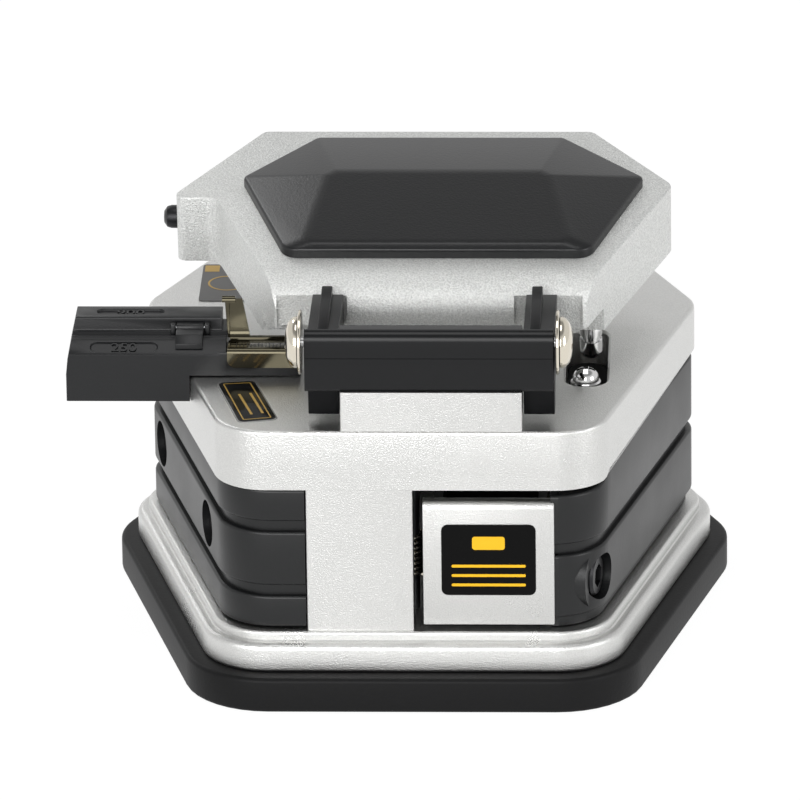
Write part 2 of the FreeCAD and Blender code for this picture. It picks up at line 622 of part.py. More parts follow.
def stop_slot_pieces():
    """Black insert in the deck's slot with the cross-recessed screw that sets the stop."""
    floor = DECK + " - slot_deep"
    inside = (("slot_left + seat_gap", "slot_right - seat_gap"),
              ("slot_front + seat_gap", "slot_back - seat_gap"))
    body = new_body("StopInsert")
    outline = polygon(body, "InsertOutline", "XY", floor + " - insert_thick", rectangle(*inside))
    extrude(body, "Pad", outline, "insert_thick")
    dress(body, "Fillet", "(slot_right - slot_left) / 2.2", upright)
    node(body, "stop_insert")
    head_low = DECK + " + stop_proud - stop_tall"
    head = cone("StopHead", "z", "stop_head", "stop_head * 0.7", "stop_tall", "stop_x", "stop_y",
                head_low)
    shank = rod("StopShank", "z", "stop_head / 2", "slot_deep + stop_proud - stop_tall / 2",
                "stop_x", "stop_y", floor)
    arms = [box("StopCross%d" % i, ("stop_x - (%s)" % wide, "stop_x + (%s)" % wide),
                ("stop_y - (%s)" % deep, "stop_y + (%s)" % deep),
                (head_low + " + stop_tall * 0.6", LID_STEP))
            for i, (wide, deep) in enumerate((("stop_head / 2", "stop_slot"),
                                              ("stop_slot", "stop_head / 2")))]
    node(cut("StopScrew", fuse("StopWhole", head, shank), *arms), "stop_screw")


# ---------------------------------------------------------------- hinge
PEDESTAL_TOP = "(%s + pedestal_tall)" % DECK
COVER_TOP = "(%s + barrel)" % AXIS_Z


def hinge():
    """Pedestal, cover bar, pin and the screws and washers at the pin's ends."""
    front = "-plan_front"
    back = AXIS_Y + " + barrel"
    block = box("PedestalBlock", ("pedestal_left", "pedestal_right"),
                (front, "pedestal_deep - plan_front"), (DECK, PEDESTAL_TOP))
    pedestal = doc.addObject("Part::Chamfer", "Pedestal")
    pedestal.Base = block
    doc.recompute()
    pedestal.Edges = [(i + 1, 0.25, 0.25) for i, edge in enumerate(block.Shape.Edges)
                      if upright(edge)]
    node(pedestal, "hinge_pedestal")

    body = new_body("Cover")
    profile = polygon(body, "CoverProfile", "YZ", "cover_left", [
        (front + " + cover_skin * 0.6", PEDESTAL_TOP),
        (front + " + cover_skin * 0.4", PEDESTAL_TOP + " + pedestal_tall / 12"),
        (front + " - seat_gap", "(%s + %s) / 2 - seat_gap * 4" % (PEDESTAL_TOP, COVER_TOP)),
        (front, "(%s + %s) / 2" % (PEDESTAL_TOP, COVER_TOP)),
        (front + " - seat_gap", "(%s + %s) / 2 + seat_gap" % (PEDESTAL_TOP, COVER_TOP)),
        (front + " - seat_gap", COVER_TOP), (back, COVER_TOP), (back, PEDESTAL_TOP)])
    extrude(body, "Pad", profile, "cover_right - cover_left")
    top = deck_level + size("hinge_up") + size("barrel")
    dress(body, "Fillet", "barrel * 0.7", lambda edge: level_at(edge, top)
          and edge.BoundBox.XLength > size("barrel"))
    skin = AXIS_Y + " - knuckle - seat_gap * 2"
    tall = (PEDESTAL_TOP + " - 1", COVER_TOP + " + 1")
    under_top = (PEDESTAL_TOP + " - 1", AXIS_Z + " + knuckle + seat_gap * 2")
    ends = []
    for i, span in enumerate((("cover_left - 1", "pedestal_left + seat_gap"),
                              ("pedestal_right - seat_gap", "cover_right + 1"))):
        ends.append(box("CoverEnd%d" % i, span, (skin, "0"), under_top))
        ends.append(box("CoverOpen%d" % i, span, (AXIS_Y + " - knuckle / 2", "0"), tall))
    bore = rod("CoverBore", "x", "pin_radius", "cover_right - cover_left + 2", "cover_left - 1",
               AXIS_Y, AXIS_Z)
    node(cut("HingeCover", body, bore, *ends), "hinge_cover")

    left_end, right_end = "(cover_left - seat_gap * 3)", "(cover_right + seat_gap * 3)"
    node(rod("Pin", "x", "pin_radius", "%s - %s" % (right_end, left_end), left_end, AXIS_Y, AXIS_Z),
         "hinge_pin")
    washers = [rod("WasherLeft", "x", "washer_radius", "washer_thick", left_end + " - washer_thick",
                   AXIS_Y, AXIS_Z),
               rod("WasherRight", "x", "washer_radius", "washer_thick", right_end, AXIS_Y, AXIS_Z)]
    node(group("Washers", *washers), "pin_washers")
    domes = [cone("DomeLeft", "x", "dome_radius * 0.6", "dome_radius", "dome_tall",
                  left_end + " - washer_thick - dome_tall", AXIS_Y, AXIS_Z),
             cone("DomeRight", "x", "dome_radius", "dome_radius * 0.6", "dome_tall",
                  right_end + " + washer_thick", AXIS_Y, AXIS_Z)]
    node(group("Domes", *domes), "pin_screws")


# ---------------------------------------------------------------- lid
def open_lid(obj):
    """Turn a piece built in the shut position up about the pin."""
    axis = Vector(0, size("hinge_back") - size("plan_front"), deck_level + size("hinge_up"))
    obj.Placement = Placement(Vector(), Rotation(Vector(1, 0, 0), size("lid_tilt")), axis)
    return obj


def lid_plate():
    """The thick machined lid: rolled near edge, ear, relief over the clamps, arm recesses."""
    body = new_body("Lid")
    corners = [("lid_near_left", "lid_near"), ("lid_near_right", "lid_near"),
               ("lid_right", "lid_vertex"), ("lid_far_right", "lid_far"),
               ("lid_far_left", "lid_far"), ("lid_left", "ear_front"), ("ear_root", "ear_front")]
    extrude(body, "Pad", polygon(body, "LidOutline", "XY", LID, corners), "lid_thick")
    top = deck_level + size("lid_gap") + size("lid_thick")
    near = size("lid_near")
    dress(body, "Fillet", "lid_roll", lambda edge: level_at(edge, top)
          and edge.BoundBox.YMax < near + 1e-3)
    dress(body, "Fillet", "ear_round", lambda edge: upright(edge)
          and edge.Vertexes[0].Y > size("lid_near") + size("lid_roll"))
    under = polygon(body, "Relief", "XY", LID_STEP, rectangle(
        ("lid_left", "lid_right"), ("lid_near - %s" % OVER, "lid_thick_from")))
    extrude(body, "Pocket", under, "lid_relief")
    groove = polygon(body, "BladeGroove", "XY", LID_STEP + " + seat_gap * 4", rectangle(
        ("blade_plane - slot_half", "blade_plane + slot_half"),
        ("lid_thick_from - seat_gap", "blade_rest + blade_radius")))
    extrude(body, "Pocket", groove, "lid_relief * 2")
    spans = (("lid_near_left + seat_gap * 2", "lid_near_left + recess_wide"),
             ("lid_near_right - recess_wide", "lid_near_right - seat_gap * 4"))
    recess = [box("Recess%d" % i, span, ("lid_near * 2", "lid_near + recess_deep"),
                  (LID, LID_TOP + " - seat_gap * 4"))
              for i, span in enumerate(spans)]
    magnet = rod("LidMagnetSeat", "z", "magnet_radius + seat_gap", "magnet_tall + seat_gap",
                 "magnet_x", "magnet_y", LID)
    ear = rod("EarBore", "x", "ear_screw * 0.6", "ear_shank + lid_gap", "lid_left - lid_gap",
              "ear_front + ear_long", LID + " + lid_thick / 2")
    stud = rod("StudSeat", "z", "stud_radius", "lid_relief + stud_seat", "stud_x", "stud_y", LID)
    return node(open_lid(cut("LidPlate", body, *recess, magnet, ear, stud)), "lid_plate")


def lid_pad():
    """The moulded press pad: a low rim, four slopes and a face that leans to the hinge."""
    low = deck_level + size("lid_gap") + size("lid_thick")
    plan = [("pad_near_left", "pad_near"), ("pad_near_right", "pad_near"),
            ("pad_right", "pad_vertex"), ("pad_far_right", "pad_far"),
            ("pad_far_left", "pad_far"), ("pad_left", "pad_vertex")]
    foot_ring = [Vector(size(x), size(y), low) for x, y in plan]
    rim = [point + Vector(0, 0, size("pad_rim")) for point in foot_ring]
    near_up = Vector(0, 0, size("pad_low"))
    far_up = Vector(0, 0, size("pad_high"))
    top_near_left = Vector(size("top_near_left"), size("top_near"), low) + near_up
    top_near_right = Vector(size("top_near_right"), size("top_near"), low) + near_up
    top_far_left = Vector(size("ridge_left"), size("ridge_line"), low) + far_up
    top_far_right = Vector(size("ridge_right"), size("ridge_line"), low) + far_up
    loops = [foot_ring]
    loops += [[foot_ring[i], foot_ring[(i + 1) % 6], rim[(i + 1) % 6], rim[i]] for i in range(6)]
    loops += [[top_near_left, top_near_right, top_far_right, top_far_left],
              [rim[0], rim[1], top_near_right, top_near_left],
              [rim[3], rim[4], top_far_left, top_far_right],
              [rim[4], rim[5], top_far_left], [rim[2], rim[3], top_far_right],
              [rim[5], rim[0], top_near_left], [rim[5], top_near_left, top_far_left],
              [rim[1], rim[2], top_near_right], [rim[2], top_far_right, top_near_right]]
    faces = [Part.Face(Part.makePolygon(loop + loop[:1])) for loop in loops]
    solid = Part.makeSolid(Part.makeShell(faces))
    if solid.Volume < 0:
        solid.reverse()
    pad = doc.addObject("Part::Feature", "Pad")
    pad.Shape = solid
    return node(open_lid(pad), "lid_pad")


def lid_arm(name, label, left, wide):
    """A hinge arm: knuckle on the pin, web sloping back to the lid's recess, lobe and rib."""
    body = new_body(name)
    near = "lid_near + recess_deep - seat_gap / 2"
    floor = LID_STEP + " + seat_gap"
    web = polygon(body, name + "Web", "YZ", left, [
        (AXIS_Y, AXIS_Z + " + knuckle"), (AXIS_Y, AXIS_Z + " - knuckle"),
        (AXIS_Y + " - lobe_front", AXIS_Z + " - knuckle * 2"),
        (AXIS_Y + " - lobe_front", DECK + " + lid_gap"),
        (AXIS_Y + " + lobe_back", DECK + " + lid_gap"),
        (AXIS_Y + " + lobe_back * 2", floor), (near, floor), (near, LID_TOP + " - arm_sunk")])
    extrude(body, "Pad", web, wide)
    rib = polygon(body, name + "Rib", "YZ", left + " + (%s - rib_wide) / 2" % wide, [
        (AXIS_Y + " + lobe_back", AXIS_Z), (near, LID_TOP + " - arm_sunk * 2"),
        (near, LID_TOP + " - rib_sunk"),
        (AXIS_Y + " + lobe_back", AXIS_Z + " + knuckle + rib_sunk")])
    extrude(body, "Pad", rib, "rib_wide")
    knuckle = rod(name + "Knuckle", "x", "knuckle", wide, left, AXIS_Y, AXIS_Z)
    bore = rod(name + "Bore", "x", "pin_radius + pin_slack", "lid_right * 4", "lid_left * 2",
               AXIS_Y, AXIS_Z)
    return node(open_lid(cut(name + "Arm", fuse(name + "Whole", body, knuckle), bore)), label)


def lid_pieces():
    lid_plate()
    lid_pad()
    lid_arm("LeftArm", "left_lid_arm", "(pedestal_left - arm_gap - arm_left_wide)", "arm_left_wide")
    lid_arm("RightArm", "right_lid_arm", "(pedestal_right + arm_gap)", "arm_right_wide")
    stud = rod("Stud", "z", "stud_radius", "stud_long + lid_relief + stud_seat", "stud_x", "stud_y",
               LID + " - stud_long")
    node(open_lid(group("LockStud", stud)), "lock_stud")
    magnet = rod("LidMagnet", "z", "magnet_radius", "magnet_tall", "magnet_x", "magnet_y", LID)
    node(open_lid(group("LidMagnetKept", magnet)), "lid_magnet")
    node(disc_magnet("DeckMagnet", DECK + " - magnet_tall"), "deck_magnet")
    shank = rod("EarShank", "x", "ear_screw * 0.6", "ear_shank", "lid_left",
                "ear_front + ear_long", LID + " + lid_thick / 2")
    head = cone("EarHead", "x", "ear_screw * 0.7", "ear_screw", "ear_head", "lid_left - ear_head",
                "ear_front + ear_long", LID + " + lid_thick / 2")
    node(open_lid(fuse("EarScrew", shank, head)), "ear_screw")
    for name, x in (("Left", "clamp_left"), ("Right", "clamp_right")):
        span = (x, x + " + clamp_wide")
        along = ("clamp_mid - clamp_long / 2", "clamp_mid + clamp_long / 2")
        block = box(name + "Clamp", span, along, (DECK, DECK + " + clamp_tall"))
        node(block, name.lower() + "_clamp_block")
        rubber = box(name + "Rubber", span, along, (DECK + " + clamp_tall",
                                                    DECK + " + clamp_tall + rubber_thick"))
        node(rubber, name.lower() + "_lower_rubber")
        upper = box(name + "UpperRubber", span, along, (LID_STEP + " - rubber_thick", LID_STEP))
        node(open_lid(group(name + "UpperKept", upper)), name.lower() + "_upper_rubber")
    anvil = box("AnvilBlock", ("blade_plane - anvil_wide / 2", "blade_plane + anvil_wide / 2"),
                ("clamp_mid - clamp_long / 3", "clamp_mid + clamp_long / 3"),
                (LID_STEP + " - rubber_thick", LID_STEP))
    node(open_lid(group("Anvil", anvil)), "anvil")


# ---------------------------------------------------------------- blade carriage
CHEEK_RIGHT = "(blade_plane - blade_thick / 2 - pusher_gap)"
HUB_LEFT = "(blade_plane + blade_thick / 2)"


def blade_carriage():
    """Rail, the block that runs on it, and the scoring wheel on its axle."""
    rail_x = ("rail_centre - rail_wide / 2", "rail_centre + rail_wide / 2")
    rail_z = (FLOOR, FLOOR + " + rail_tall")
    node(box("Rail", rail_x, ("-rail_front", "rail_back"), rail_z), "slide_rail")

    block_y = ("blade_rest - block_half", "blade_rest + block_half")
    block_top = FLOOR + " + block_up + block_tall"
    block = box("Block", ("rail_centre - block_wide / 2", "rail_centre + block_wide / 2"), block_y,
                (FLOOR + " + block_up", block_top))
    channel = box("BlockChannel", (rail_x[0] + " - run_gap", rail_x[1] + " + run_gap"),
                  (block_y[0] + " - 1", block_y[1] + " + 1"), ("0", rail_z[1] + " + run_gap"))
    cheek = box("Cheek", (CHEEK_RIGHT + " - cheek_thick", CHEEK_RIGHT),
                ("blade_rest - cheek_half", "blade_rest + cheek_half"),
                (block_top + " - 1", DECK + " - skin - pusher_gap * 2"))
    bore = rod("CheekBore", "x", "axle_radius", "cheek_thick + 2",
               CHEEK_RIGHT + " - cheek_thick - 1", "blade_rest", BLADE_Z)
    node(cut("Carriage", fuse("CarriageWhole", block, cheek), channel, bore), "blade_carriage")

    axle = rod("Axle", "x", "axle_radius", "cheek_thick + pusher_gap * 2 + blade_thick + hub_thick",
               CHEEK_RIGHT + " - cheek_thick", "blade_rest", BLADE_Z)
    node(axle, "blade_axle")

    rim = "blade_radius - blade_bevel"
    half = "blade_thick / 2"
    wheel = fuse("WheelWhole",
                 cone("WheelLeft", "x", rim, "blade_radius", half, "blade_plane - " + half,
                      "blade_rest", BLADE_Z),
                 cone("WheelRight", "x", "blade_radius", rim, half, "blade_plane", "blade_rest",
                      BLADE_Z))
    running = "axle_radius + pin_slack"
    bore = rod("WheelBore", "x", running, "blade_thick + 2", "blade_plane - blade_thick / 2 - 1",
               "blade_rest", BLADE_Z)
    node(cut("Wheel", wheel, bore), "blade_wheel")
    hub = rod("HubDisc", "x", "hub_radius", "hub_thick", HUB_LEFT, "blade_rest", BLADE_Z)
    hub_bore = rod("HubBore", "x", running, "hub_thick + 2", HUB_LEFT + " - 1", "blade_rest",
                   BLADE_Z)
    node(cut("Hub", hub, hub_bore), "blade_hub")


def pusher():
    """The black knob behind the carriage, with three finger grooves across its end."""
    body = new_body("Pusher")
    back = "(plan_back + pusher_out)"
    outline = polygon(body, "PusherOutline", "XY", "pusher_up", rectangle(
        ("rail_centre - pusher_wide / 2", "rail_centre + pusher_wide / 2"),
        ("blade_rest + block_half", back)))
    extrude(body, "Pad", outline, "pusher_tall")
    end = size("plan_back") + size("pusher_out")
    dress(body, "Fillet", "pusher_tall / 5", lambda edge: edge.BoundBox.YMin > end - 1e-3)
    grooves = [box("PusherGroove%d" % i, ("rail_centre - pusher_wide", "rail_centre + pusher_wide"),
                   (back + " - pusher_rib * %d" % (2 * i + 4), back + " - pusher_rib * %d" % (2 * i + 3)),
                   ("pusher_up + pusher_tall - pusher_cut", DECK))
               for i in range(3)]
    node(cut("PusherKnob", body, *grooves), "pusher_knob")


# ---------------------------------------------------------------- drawer
def drawer():
    """The scrap drawer: silver front, open bin and the label plate on its face."""
    body = new_body("DrawerFront")
    front = polygon(body, "DrawerFace", "XZ", "plan_front - drawer_plate", rectangle(
        ("drawer_left", "drawer_right"), ("drawer_low", "drawer_top")))
    extrude(body, "Pad", front, "drawer_plate")
    face, top = -size("plan_front"), size("drawer_top")
    dress(body, "Fillet", "drawer_plate / 2", lambda edge: edge.BoundBox.YMax < face + 1e-3
          and level_at(edge, top))
    node(body, "drawer_front")

    side = "bin_wall"
    left, right = "(drawer_left + bin_wall)", "(drawer_right - bin_wall)"
    back = "(drawer_deep - plan_front)"
    inner_front = "(drawer_plate - plan_front)"
    low = FLOOR + " + holder_gap * 2"
    shell = box("BinBlock", (left, right), (inner_front, back), (low, "bin_top"))
    inside = box("BinInside", (left + " + " + side, right + " - " + side),
                 (inner_front + " + " + side, back + " - " + side), (low + " + " + side, DECK))
    node(cut("Bin", shell, inside), "drawer_bin")

    plate = new_body("DrawerLabel")
    middle = "(drawer_left + drawer_right) / 2"
    outline = polygon(plate, "LabelFace", "XZ", "plan_front", rectangle(
        (middle + " - drawer_label_wide / 2", middle + " + drawer_label_wide / 2"),
        ("drawer_label_up - drawer_label_tall / 2", "drawer_label_up + drawer_label_tall / 2")))
    extrude(plate, "Pad", outline, "label_thick")
    dress(plate, "Fillet", "label_round", lambda edge: edge.BoundBox.YLength > 0.1)
    node(plate, "drawer_label")


# ---------------------------------------------------------------- fibre holder
HOLDER_FOOT = "(%s + holder_gap)" % DECK
SHOULDER = "(%s + holder_shoulder)" % DECK
HOLDER_TOP = "(%s + holder_top)" % DECK
LEDGE = "(%s + holder_ledge)" % DECK
NOSE = "(%s + holder_shoulder + holder_gap * 2)" % DECK
CHANNEL_BACK = "(clamp_mid + clamp_long / 2)"
KEEPER_Y = "(holder_wall - keeper_knuckle - holder_gap * 2)"
KEEPER_Z = "(%s + keeper_knuckle + holder_gap)" % HOLDER_TOP
KEEPER_PIN_LEFT = "(keeper_left - holder_gap - lug_wide)"
KEEPER_PIN_LONG = "(keeper_right - keeper_left + holder_gap * 2 + lug_wide * 2)"


def oval_pocket(body, name, level, y_low, y_high):
    """A shallow recess with round ends, for the size number, sunk into a level of the holder."""
    drawn = polygon(body, name, "XY", level, rectangle(("oval_left", "oval_right"), (y_low, y_high)))
    extrude(body, "Pocket", drawn, "oval_deep")
    ends = (size("oval_left"), size("oval_right"))
    dress(body, "Fillet", "oval_half * 0.9", lambda edge: upright(edge) and min(
        abs(edge.Vertexes[0].X - end) for end in ends) < SAME)


def fibre_holder():
    """The sliding holder: stepped section with a V groove, drop outside the deck, lugs, tongue."""
    body = new_body("Holder")
    section = polygon(body, "HolderSection", "YZ", "holder_left", [
        ("holder_front", HOLDER_FOOT), ("holder_front", SHOULDER),
        ("holder_front + holder_chamfer", HOLDER_TOP),
        ("fibre_line - groove_half", HOLDER_TOP), ("fibre_line", HOLDER_TOP + " - groove_half"),
        ("fibre_line + groove_half", HOLDER_TOP), ("holder_wall", HOLDER_TOP),
        ("holder_wall", LEDGE), ("holder_back", LEDGE), ("holder_back", HOLDER_FOOT)])
    extrude(body, "Pad", section, "channel_corner - holder_left")
    high = polygon(body, "LedgeEnd", "XY", LEDGE, rectangle(
        ("ledge_end", "holder_right"), ("holder_wall", "holder_back + holder_chamfer")))
    extrude(body, "Pocket", high, "holder_ledge - holder_top")
    ledge_mid = "(holder_wall + holder_back) / 2"
    oval_pocket(body, "LedgeOval", LEDGE, ledge_mid + " - oval_half", ledge_mid + " + oval_half")
    drop = polygon(body, "HolderDrop", "XY", DECK + " - holder_drop", [
        ("holder_left", "holder_front"),
        ("-(%s) - holder_gap" % facet_formula("holder_front"), "holder_front"),
        ("-(%s) - holder_gap" % facet_formula("holder_back"), "holder_back"),
        ("holder_left", "holder_back")])
    extrude(body, "Pad", drop, "holder_drop + holder_shoulder / 2")
    nose = box("Nose", ("channel_corner - holder_chamfer", "holder_right"),
               ("holder_front", CHANNEL_BACK), (HOLDER_FOOT, NOSE))
    tongue = box("Tongue", ("-(%s)" % facet_formula("holder_back") + " + holder_gap * 4",
                            "channel_corner"),
                 (HOLDER_MID + " - tongue_half", HOLDER_MID + " + tongue_half"),
                 (DECK + " - tongue_deep", SHOULDER))
    spans = (("keeper_left - holder_gap - lug_wide", "keeper_left - holder_gap"),
             ("keeper_right + holder_gap", "keeper_right + holder_gap + lug_wide"))
    lugs = [box("Lug%d" % i, span, (KEEPER_Y + " - keeper_knuckle", "holder_wall + keeper_knuckle"),
                (SHOULDER, KEEPER_Z + " + keeper_knuckle"))
            for i, span in enumerate(spans)]
    lug_bore = rod("LugBore", "x", "keeper_pin", KEEPER_PIN_LONG, KEEPER_PIN_LEFT, KEEPER_Y, KEEPER_Z)
    whole = fuse("HolderWhole", body, nose, tongue, *lugs)
    node(cut("HolderDrilled", whole, lug_bore), "fibre_holder")


def facet_formula(y):
    """Half width of the deck's front facets at a depth, as a formula."""
    return "front_half + (%s + plan_front) * tan(front_lean)" % y


def holder_channel():
    """Bent sheet on the holder's nose: front flange, floor, and a tall flange cut to pass the lid."""
    body = new_body("Channel")
    floor = "(%s + holder_gap / 2)" % NOSE
    front = "(holder_front - holder_gap / 2)"
    left = "channel_corner + holder_gap"
    section = polygon(body, "ChannelSection", "YZ", left, [
        (front + " - sheet", floor + " - channel_lip"), (front, floor + " - channel_lip"),
        (front, floor), (CHANNEL_BACK, floor), (CHANNEL_BACK, floor + " + sheet"),
        (front + " - sheet", floor + " + sheet")])
    extrude(body, "Pad", section, "holder_right - channel_corner - holder_gap * 2")
    tall = polygon(body, "TallFlange", "XZ", "-" + CHANNEL_BACK, [
        (left, floor), (left, DECK + " + flange_top"), ("flange_flat", DECK + " + flange_top"),
        ("flange_end", DECK + " + flange_low"), ("flange_end", floor)])
    extrude(body, "Pad", tall, "sheet")
    roll = rod("Curl", "x", "curl", "curl_long", "channel_left", CHANNEL_BACK + " - sheet / 2",
               DECK + " + flange_top")
    node(fuse("ChannelWhole", body, roll), "holder_channel")


def keeper():
    """The small clip that shuts over the groove, and the pin it turns on."""
    body = new_body("Keeper")
    low = "(%s + holder_gap)" % HOLDER_TOP
    chamfer_top = "holder_front + holder_chamfer"
    fall = "(%s - keeper_front) * (holder_top - holder_shoulder) / holder_chamfer" % chamfer_top
    section = polygon(body, "KeeperSection", "YZ", "keeper_left", [
        (KEEPER_Y, low), (KEEPER_Y, KEEPER_Z + " + keeper_knuckle"),
        (KEEPER_Y + " - keeper_knuckle", low + " + keeper_thick"),
        (chamfer_top, low + " + keeper_thick"),
        ("keeper_front", low + " + keeper_thick - " + fall), ("keeper_front", low + " - " + fall),
        (chamfer_top, low)])
    extrude(body, "Pad", section, "keeper_right - keeper_left")
    knuckle = rod("KeeperKnuckle", "x", "keeper_knuckle", "keeper_right - keeper_left",
                  "keeper_left", KEEPER_Y, KEEPER_Z)
    bore = rod("KeeperBore", "x", "keeper_pin + pin_slack", KEEPER_PIN_LONG, KEEPER_PIN_LEFT,
               KEEPER_Y, KEEPER_Z)
    node(cut("KeeperClip", fuse("KeeperWhole", body, knuckle), bore), "keeper_clip")
    node(rod("KeeperPin", "x", "keeper_pin", KEEPER_PIN_LONG, KEEPER_PIN_LEFT, KEEPER_Y, KEEPER_Z),
         "keeper_pin")


# ---------------------------------------------------------------- small things
def detent():
    """The sprung pin that holds the drawer shut, beside the leg."""
    node(rod("DetentPin", "z", "detent_radius", "shell_tall", "detent_x", "detent_y", FLOOR),
         "detent_pin")
    coil = new_body("Coil")
    inner = "(detent_radius + holder_gap)"
    wire = polygon(coil, "WireSection", "XZ", "0", [
        (inner, "0"), (inner + " + coil_wire / 2", "-coil_wire / 2"), (inner + " + coil_wire", "0"),
        (inner + " + coil_wire / 2", "coil_wire / 2")])
    turns = coil.newObject("PartDesign::AdditiveHelix", "CoilTurns")
    turns.Profile = wire
    turns.ReferenceAxis = (wire, ["V_Axis"])
    turns.Mode = "pitch-height-angle"
    turns.setExpression("Pitch", bound("coil_pitch"))
    turns.setExpression("Height", bound("detent_high - detent_low"))
    coil.Tip = turns
    place(coil, "detent_x", "detent_y", "detent_low")
    node(coil, "detent_spring")


def deck_labels():
    """Two thin plates stuck to the deck: one along the front left facet, one at the back left."""
    def beside_facet(y, inwards):
        return "(%s) - (%s)" % (inwards, facet_formula(y))

    wide = "label_margin + near_label_wide"
    near = [(beside_facet("near_label_front", "label_margin"), "near_label_front"),
            (beside_facet("near_label_front", wide),
             "near_label_front + near_label_wide * tan(front_lean)"),
            (beside_facet("near_label_back", wide), "near_label_back"),
            (beside_facet("near_label_back", "label_margin"), "near_label_back")]
    far_left, far_back = "-(back_half - holder_gap)", "plan_back - far_label_end"
    far = [(far_left + " - far_label_skew", "far_label_front"),
           (far_left + " - far_label_skew + far_label_wide", "far_label_front"),
           (far_left + " - far_label_skew + far_label_wide", far_back), (far_left, far_back)]
    plates = []
    for name, corners in (("NearLabel", near), ("FarLabel", far)):
        body = new_body(name)
        outline = polygon(body, name + "Outline", "XY", DECK, corners)
        extrude(body, "Pad", outline, "label_thick / 2")
        dress(body, "Fillet", "label_round", upright)
        plates.append(body)
    node(group("DeckLabels", *plates), "deck_labels")


foot()
base()
screws_and_posts()
shells()
deck()
stop_slot_pieces()
hinge()
lid_pieces()
blade_carriage()
pusher()
drawer()
fibre_holder()
holder_channel()
keeper()
detent()
deck_labels()
doc.recompute()

for obj in doc.Objects:
    if "Invalid" in obj.State or "Error" in obj.State:
        raise RuntimeError("%s (%s) is in state %s" % (obj.Name, obj.Label, obj.State))

os.makedirs("parts", exist_ok=True)
for obj in NODES:
    if obj.Shape.isNull() or not obj.Shape.isValid():
        raise RuntimeError("%s has no valid shape" % obj.Label)
    obj.Shape.exportStep("parts/%s.step" % obj.Label)
    bounds = obj.Shape.BoundBox
    print("%-20s %7.2f %7.2f %7.2f  %7.2f %7.2f %7.2f  solids %d" % (
        obj.Label, bounds.XMin, bounds.YMin, bounds.ZMin, bounds.XMax, bounds.YMax, bounds.ZMax,
        len(obj.Shape.Solids)))
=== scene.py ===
"""Looks of the fibre cleaver: blasted silver metal, black moulded covers and bright hinge parts.

Lengths are in millimetres in the CAD row's frame and become metres when a piece is made. Pieces of
the lid are drawn lying shut and then turned about the hinge pin to where the solids have the lid.
"""
import json
import math

import bmesh
import bpy
from mathutils import Matrix, Vector


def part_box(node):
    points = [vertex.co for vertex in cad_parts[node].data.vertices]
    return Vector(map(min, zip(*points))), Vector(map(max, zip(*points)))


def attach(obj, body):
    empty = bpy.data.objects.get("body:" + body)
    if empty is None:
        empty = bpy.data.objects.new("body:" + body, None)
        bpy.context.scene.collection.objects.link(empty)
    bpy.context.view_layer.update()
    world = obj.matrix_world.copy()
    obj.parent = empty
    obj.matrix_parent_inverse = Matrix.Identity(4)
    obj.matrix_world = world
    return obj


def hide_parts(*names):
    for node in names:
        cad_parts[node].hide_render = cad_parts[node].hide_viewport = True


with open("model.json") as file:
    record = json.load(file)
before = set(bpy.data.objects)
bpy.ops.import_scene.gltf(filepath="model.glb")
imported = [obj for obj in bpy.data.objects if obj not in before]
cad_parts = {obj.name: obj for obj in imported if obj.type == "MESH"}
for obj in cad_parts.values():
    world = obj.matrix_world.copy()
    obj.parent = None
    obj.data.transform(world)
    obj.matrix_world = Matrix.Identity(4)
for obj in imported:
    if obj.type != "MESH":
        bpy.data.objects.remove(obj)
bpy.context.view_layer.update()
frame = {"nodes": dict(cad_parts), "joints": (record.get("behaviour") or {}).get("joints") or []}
MM = 0.001


# ---------------- sizes from the frame
def span(node, axis):
    """Low and high end of a CAD node along one axis, in mm."""
    low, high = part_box(node)
    return low[axis] / MM, high[axis] / MM


def spans(node):
    """Low and high ends of a CAD node along X, Y and Z, in mm."""
    return [span(node, axis) for axis in range(3)]


SEAM = 0.15
DECK_TALL = 7.15
STEP_TALL = 3.4
LID_GAP, LID_STEP_TALL, LID_TALL = 1.0, 2.9, 8.4
FLOOR = span("left_shell", 2)[0] - SEAM
DECK_TOP = span("deck", 2)[1]
DECK_LOW = DECK_TOP - DECK_TALL
BASE_TOP = span("foot_pad", 2)[1]
STEP_TOP = BASE_TOP + STEP_TALL
FRONT, BACK = span("deck", 1)
AXIS = Vector((0, *[joint["pos_m"][i] / MM for joint in frame["joints"]
                    if joint["name"] == "lid_hinge" for i in (1, 2)]))
LID_TILT = math.radians(8.5)
LID_LOW = DECK_TOP + LID_GAP
LID_STEP = LID_LOW + LID_STEP_TALL
LID_TOP = LID_LOW + LID_TALL
FRONT_HALF = 21.1
BACK_HALF = 24.6
FRONT_LEAN = math.radians(15.2)
BACK_LEAN = math.radians(25.1)
SLIT = (-6.7, -4.3)
MAGNET_SPOT = (13, 17)
MAGNET_HOLE = 2.1
SCREW_ROUND = 40
SHUT_TO_REST = (Matrix.Translation(AXIS) @ Matrix.Rotation(LID_TILT, 4, "X")
                @ Matrix.Translation(-AXIS))


# ---------------- materials
def srgb(code):
    """A linear colour from an sRGB hex code."""
    parts = [int(code[i:i + 2], 16) / 255 for i in (0, 2, 4)]
    return [c / 12.92 if c <= 0.04045 else ((c + 0.055) / 1.055) ** 2.4 for c in parts] + [1.0]


def add(tree, kind, settings=(), **links):
    """A shader node with its values set and its inputs joined."""
    shader = tree.nodes.new("ShaderNode" + kind)
    for name, value in dict(settings).items():
        if name in shader.inputs:
            shader.inputs[name].default_value = value
        else:
            setattr(shader, name, value)
    for name, source in links.items():
        tree.links.new(source, shader.inputs[name.replace("_", " ")])
    return shader


def bare_tree(owner):
    """The emptied node tree of a new material or world."""
    owner.use_nodes = True
    owner.node_tree.nodes.clear()
    return owner.node_tree


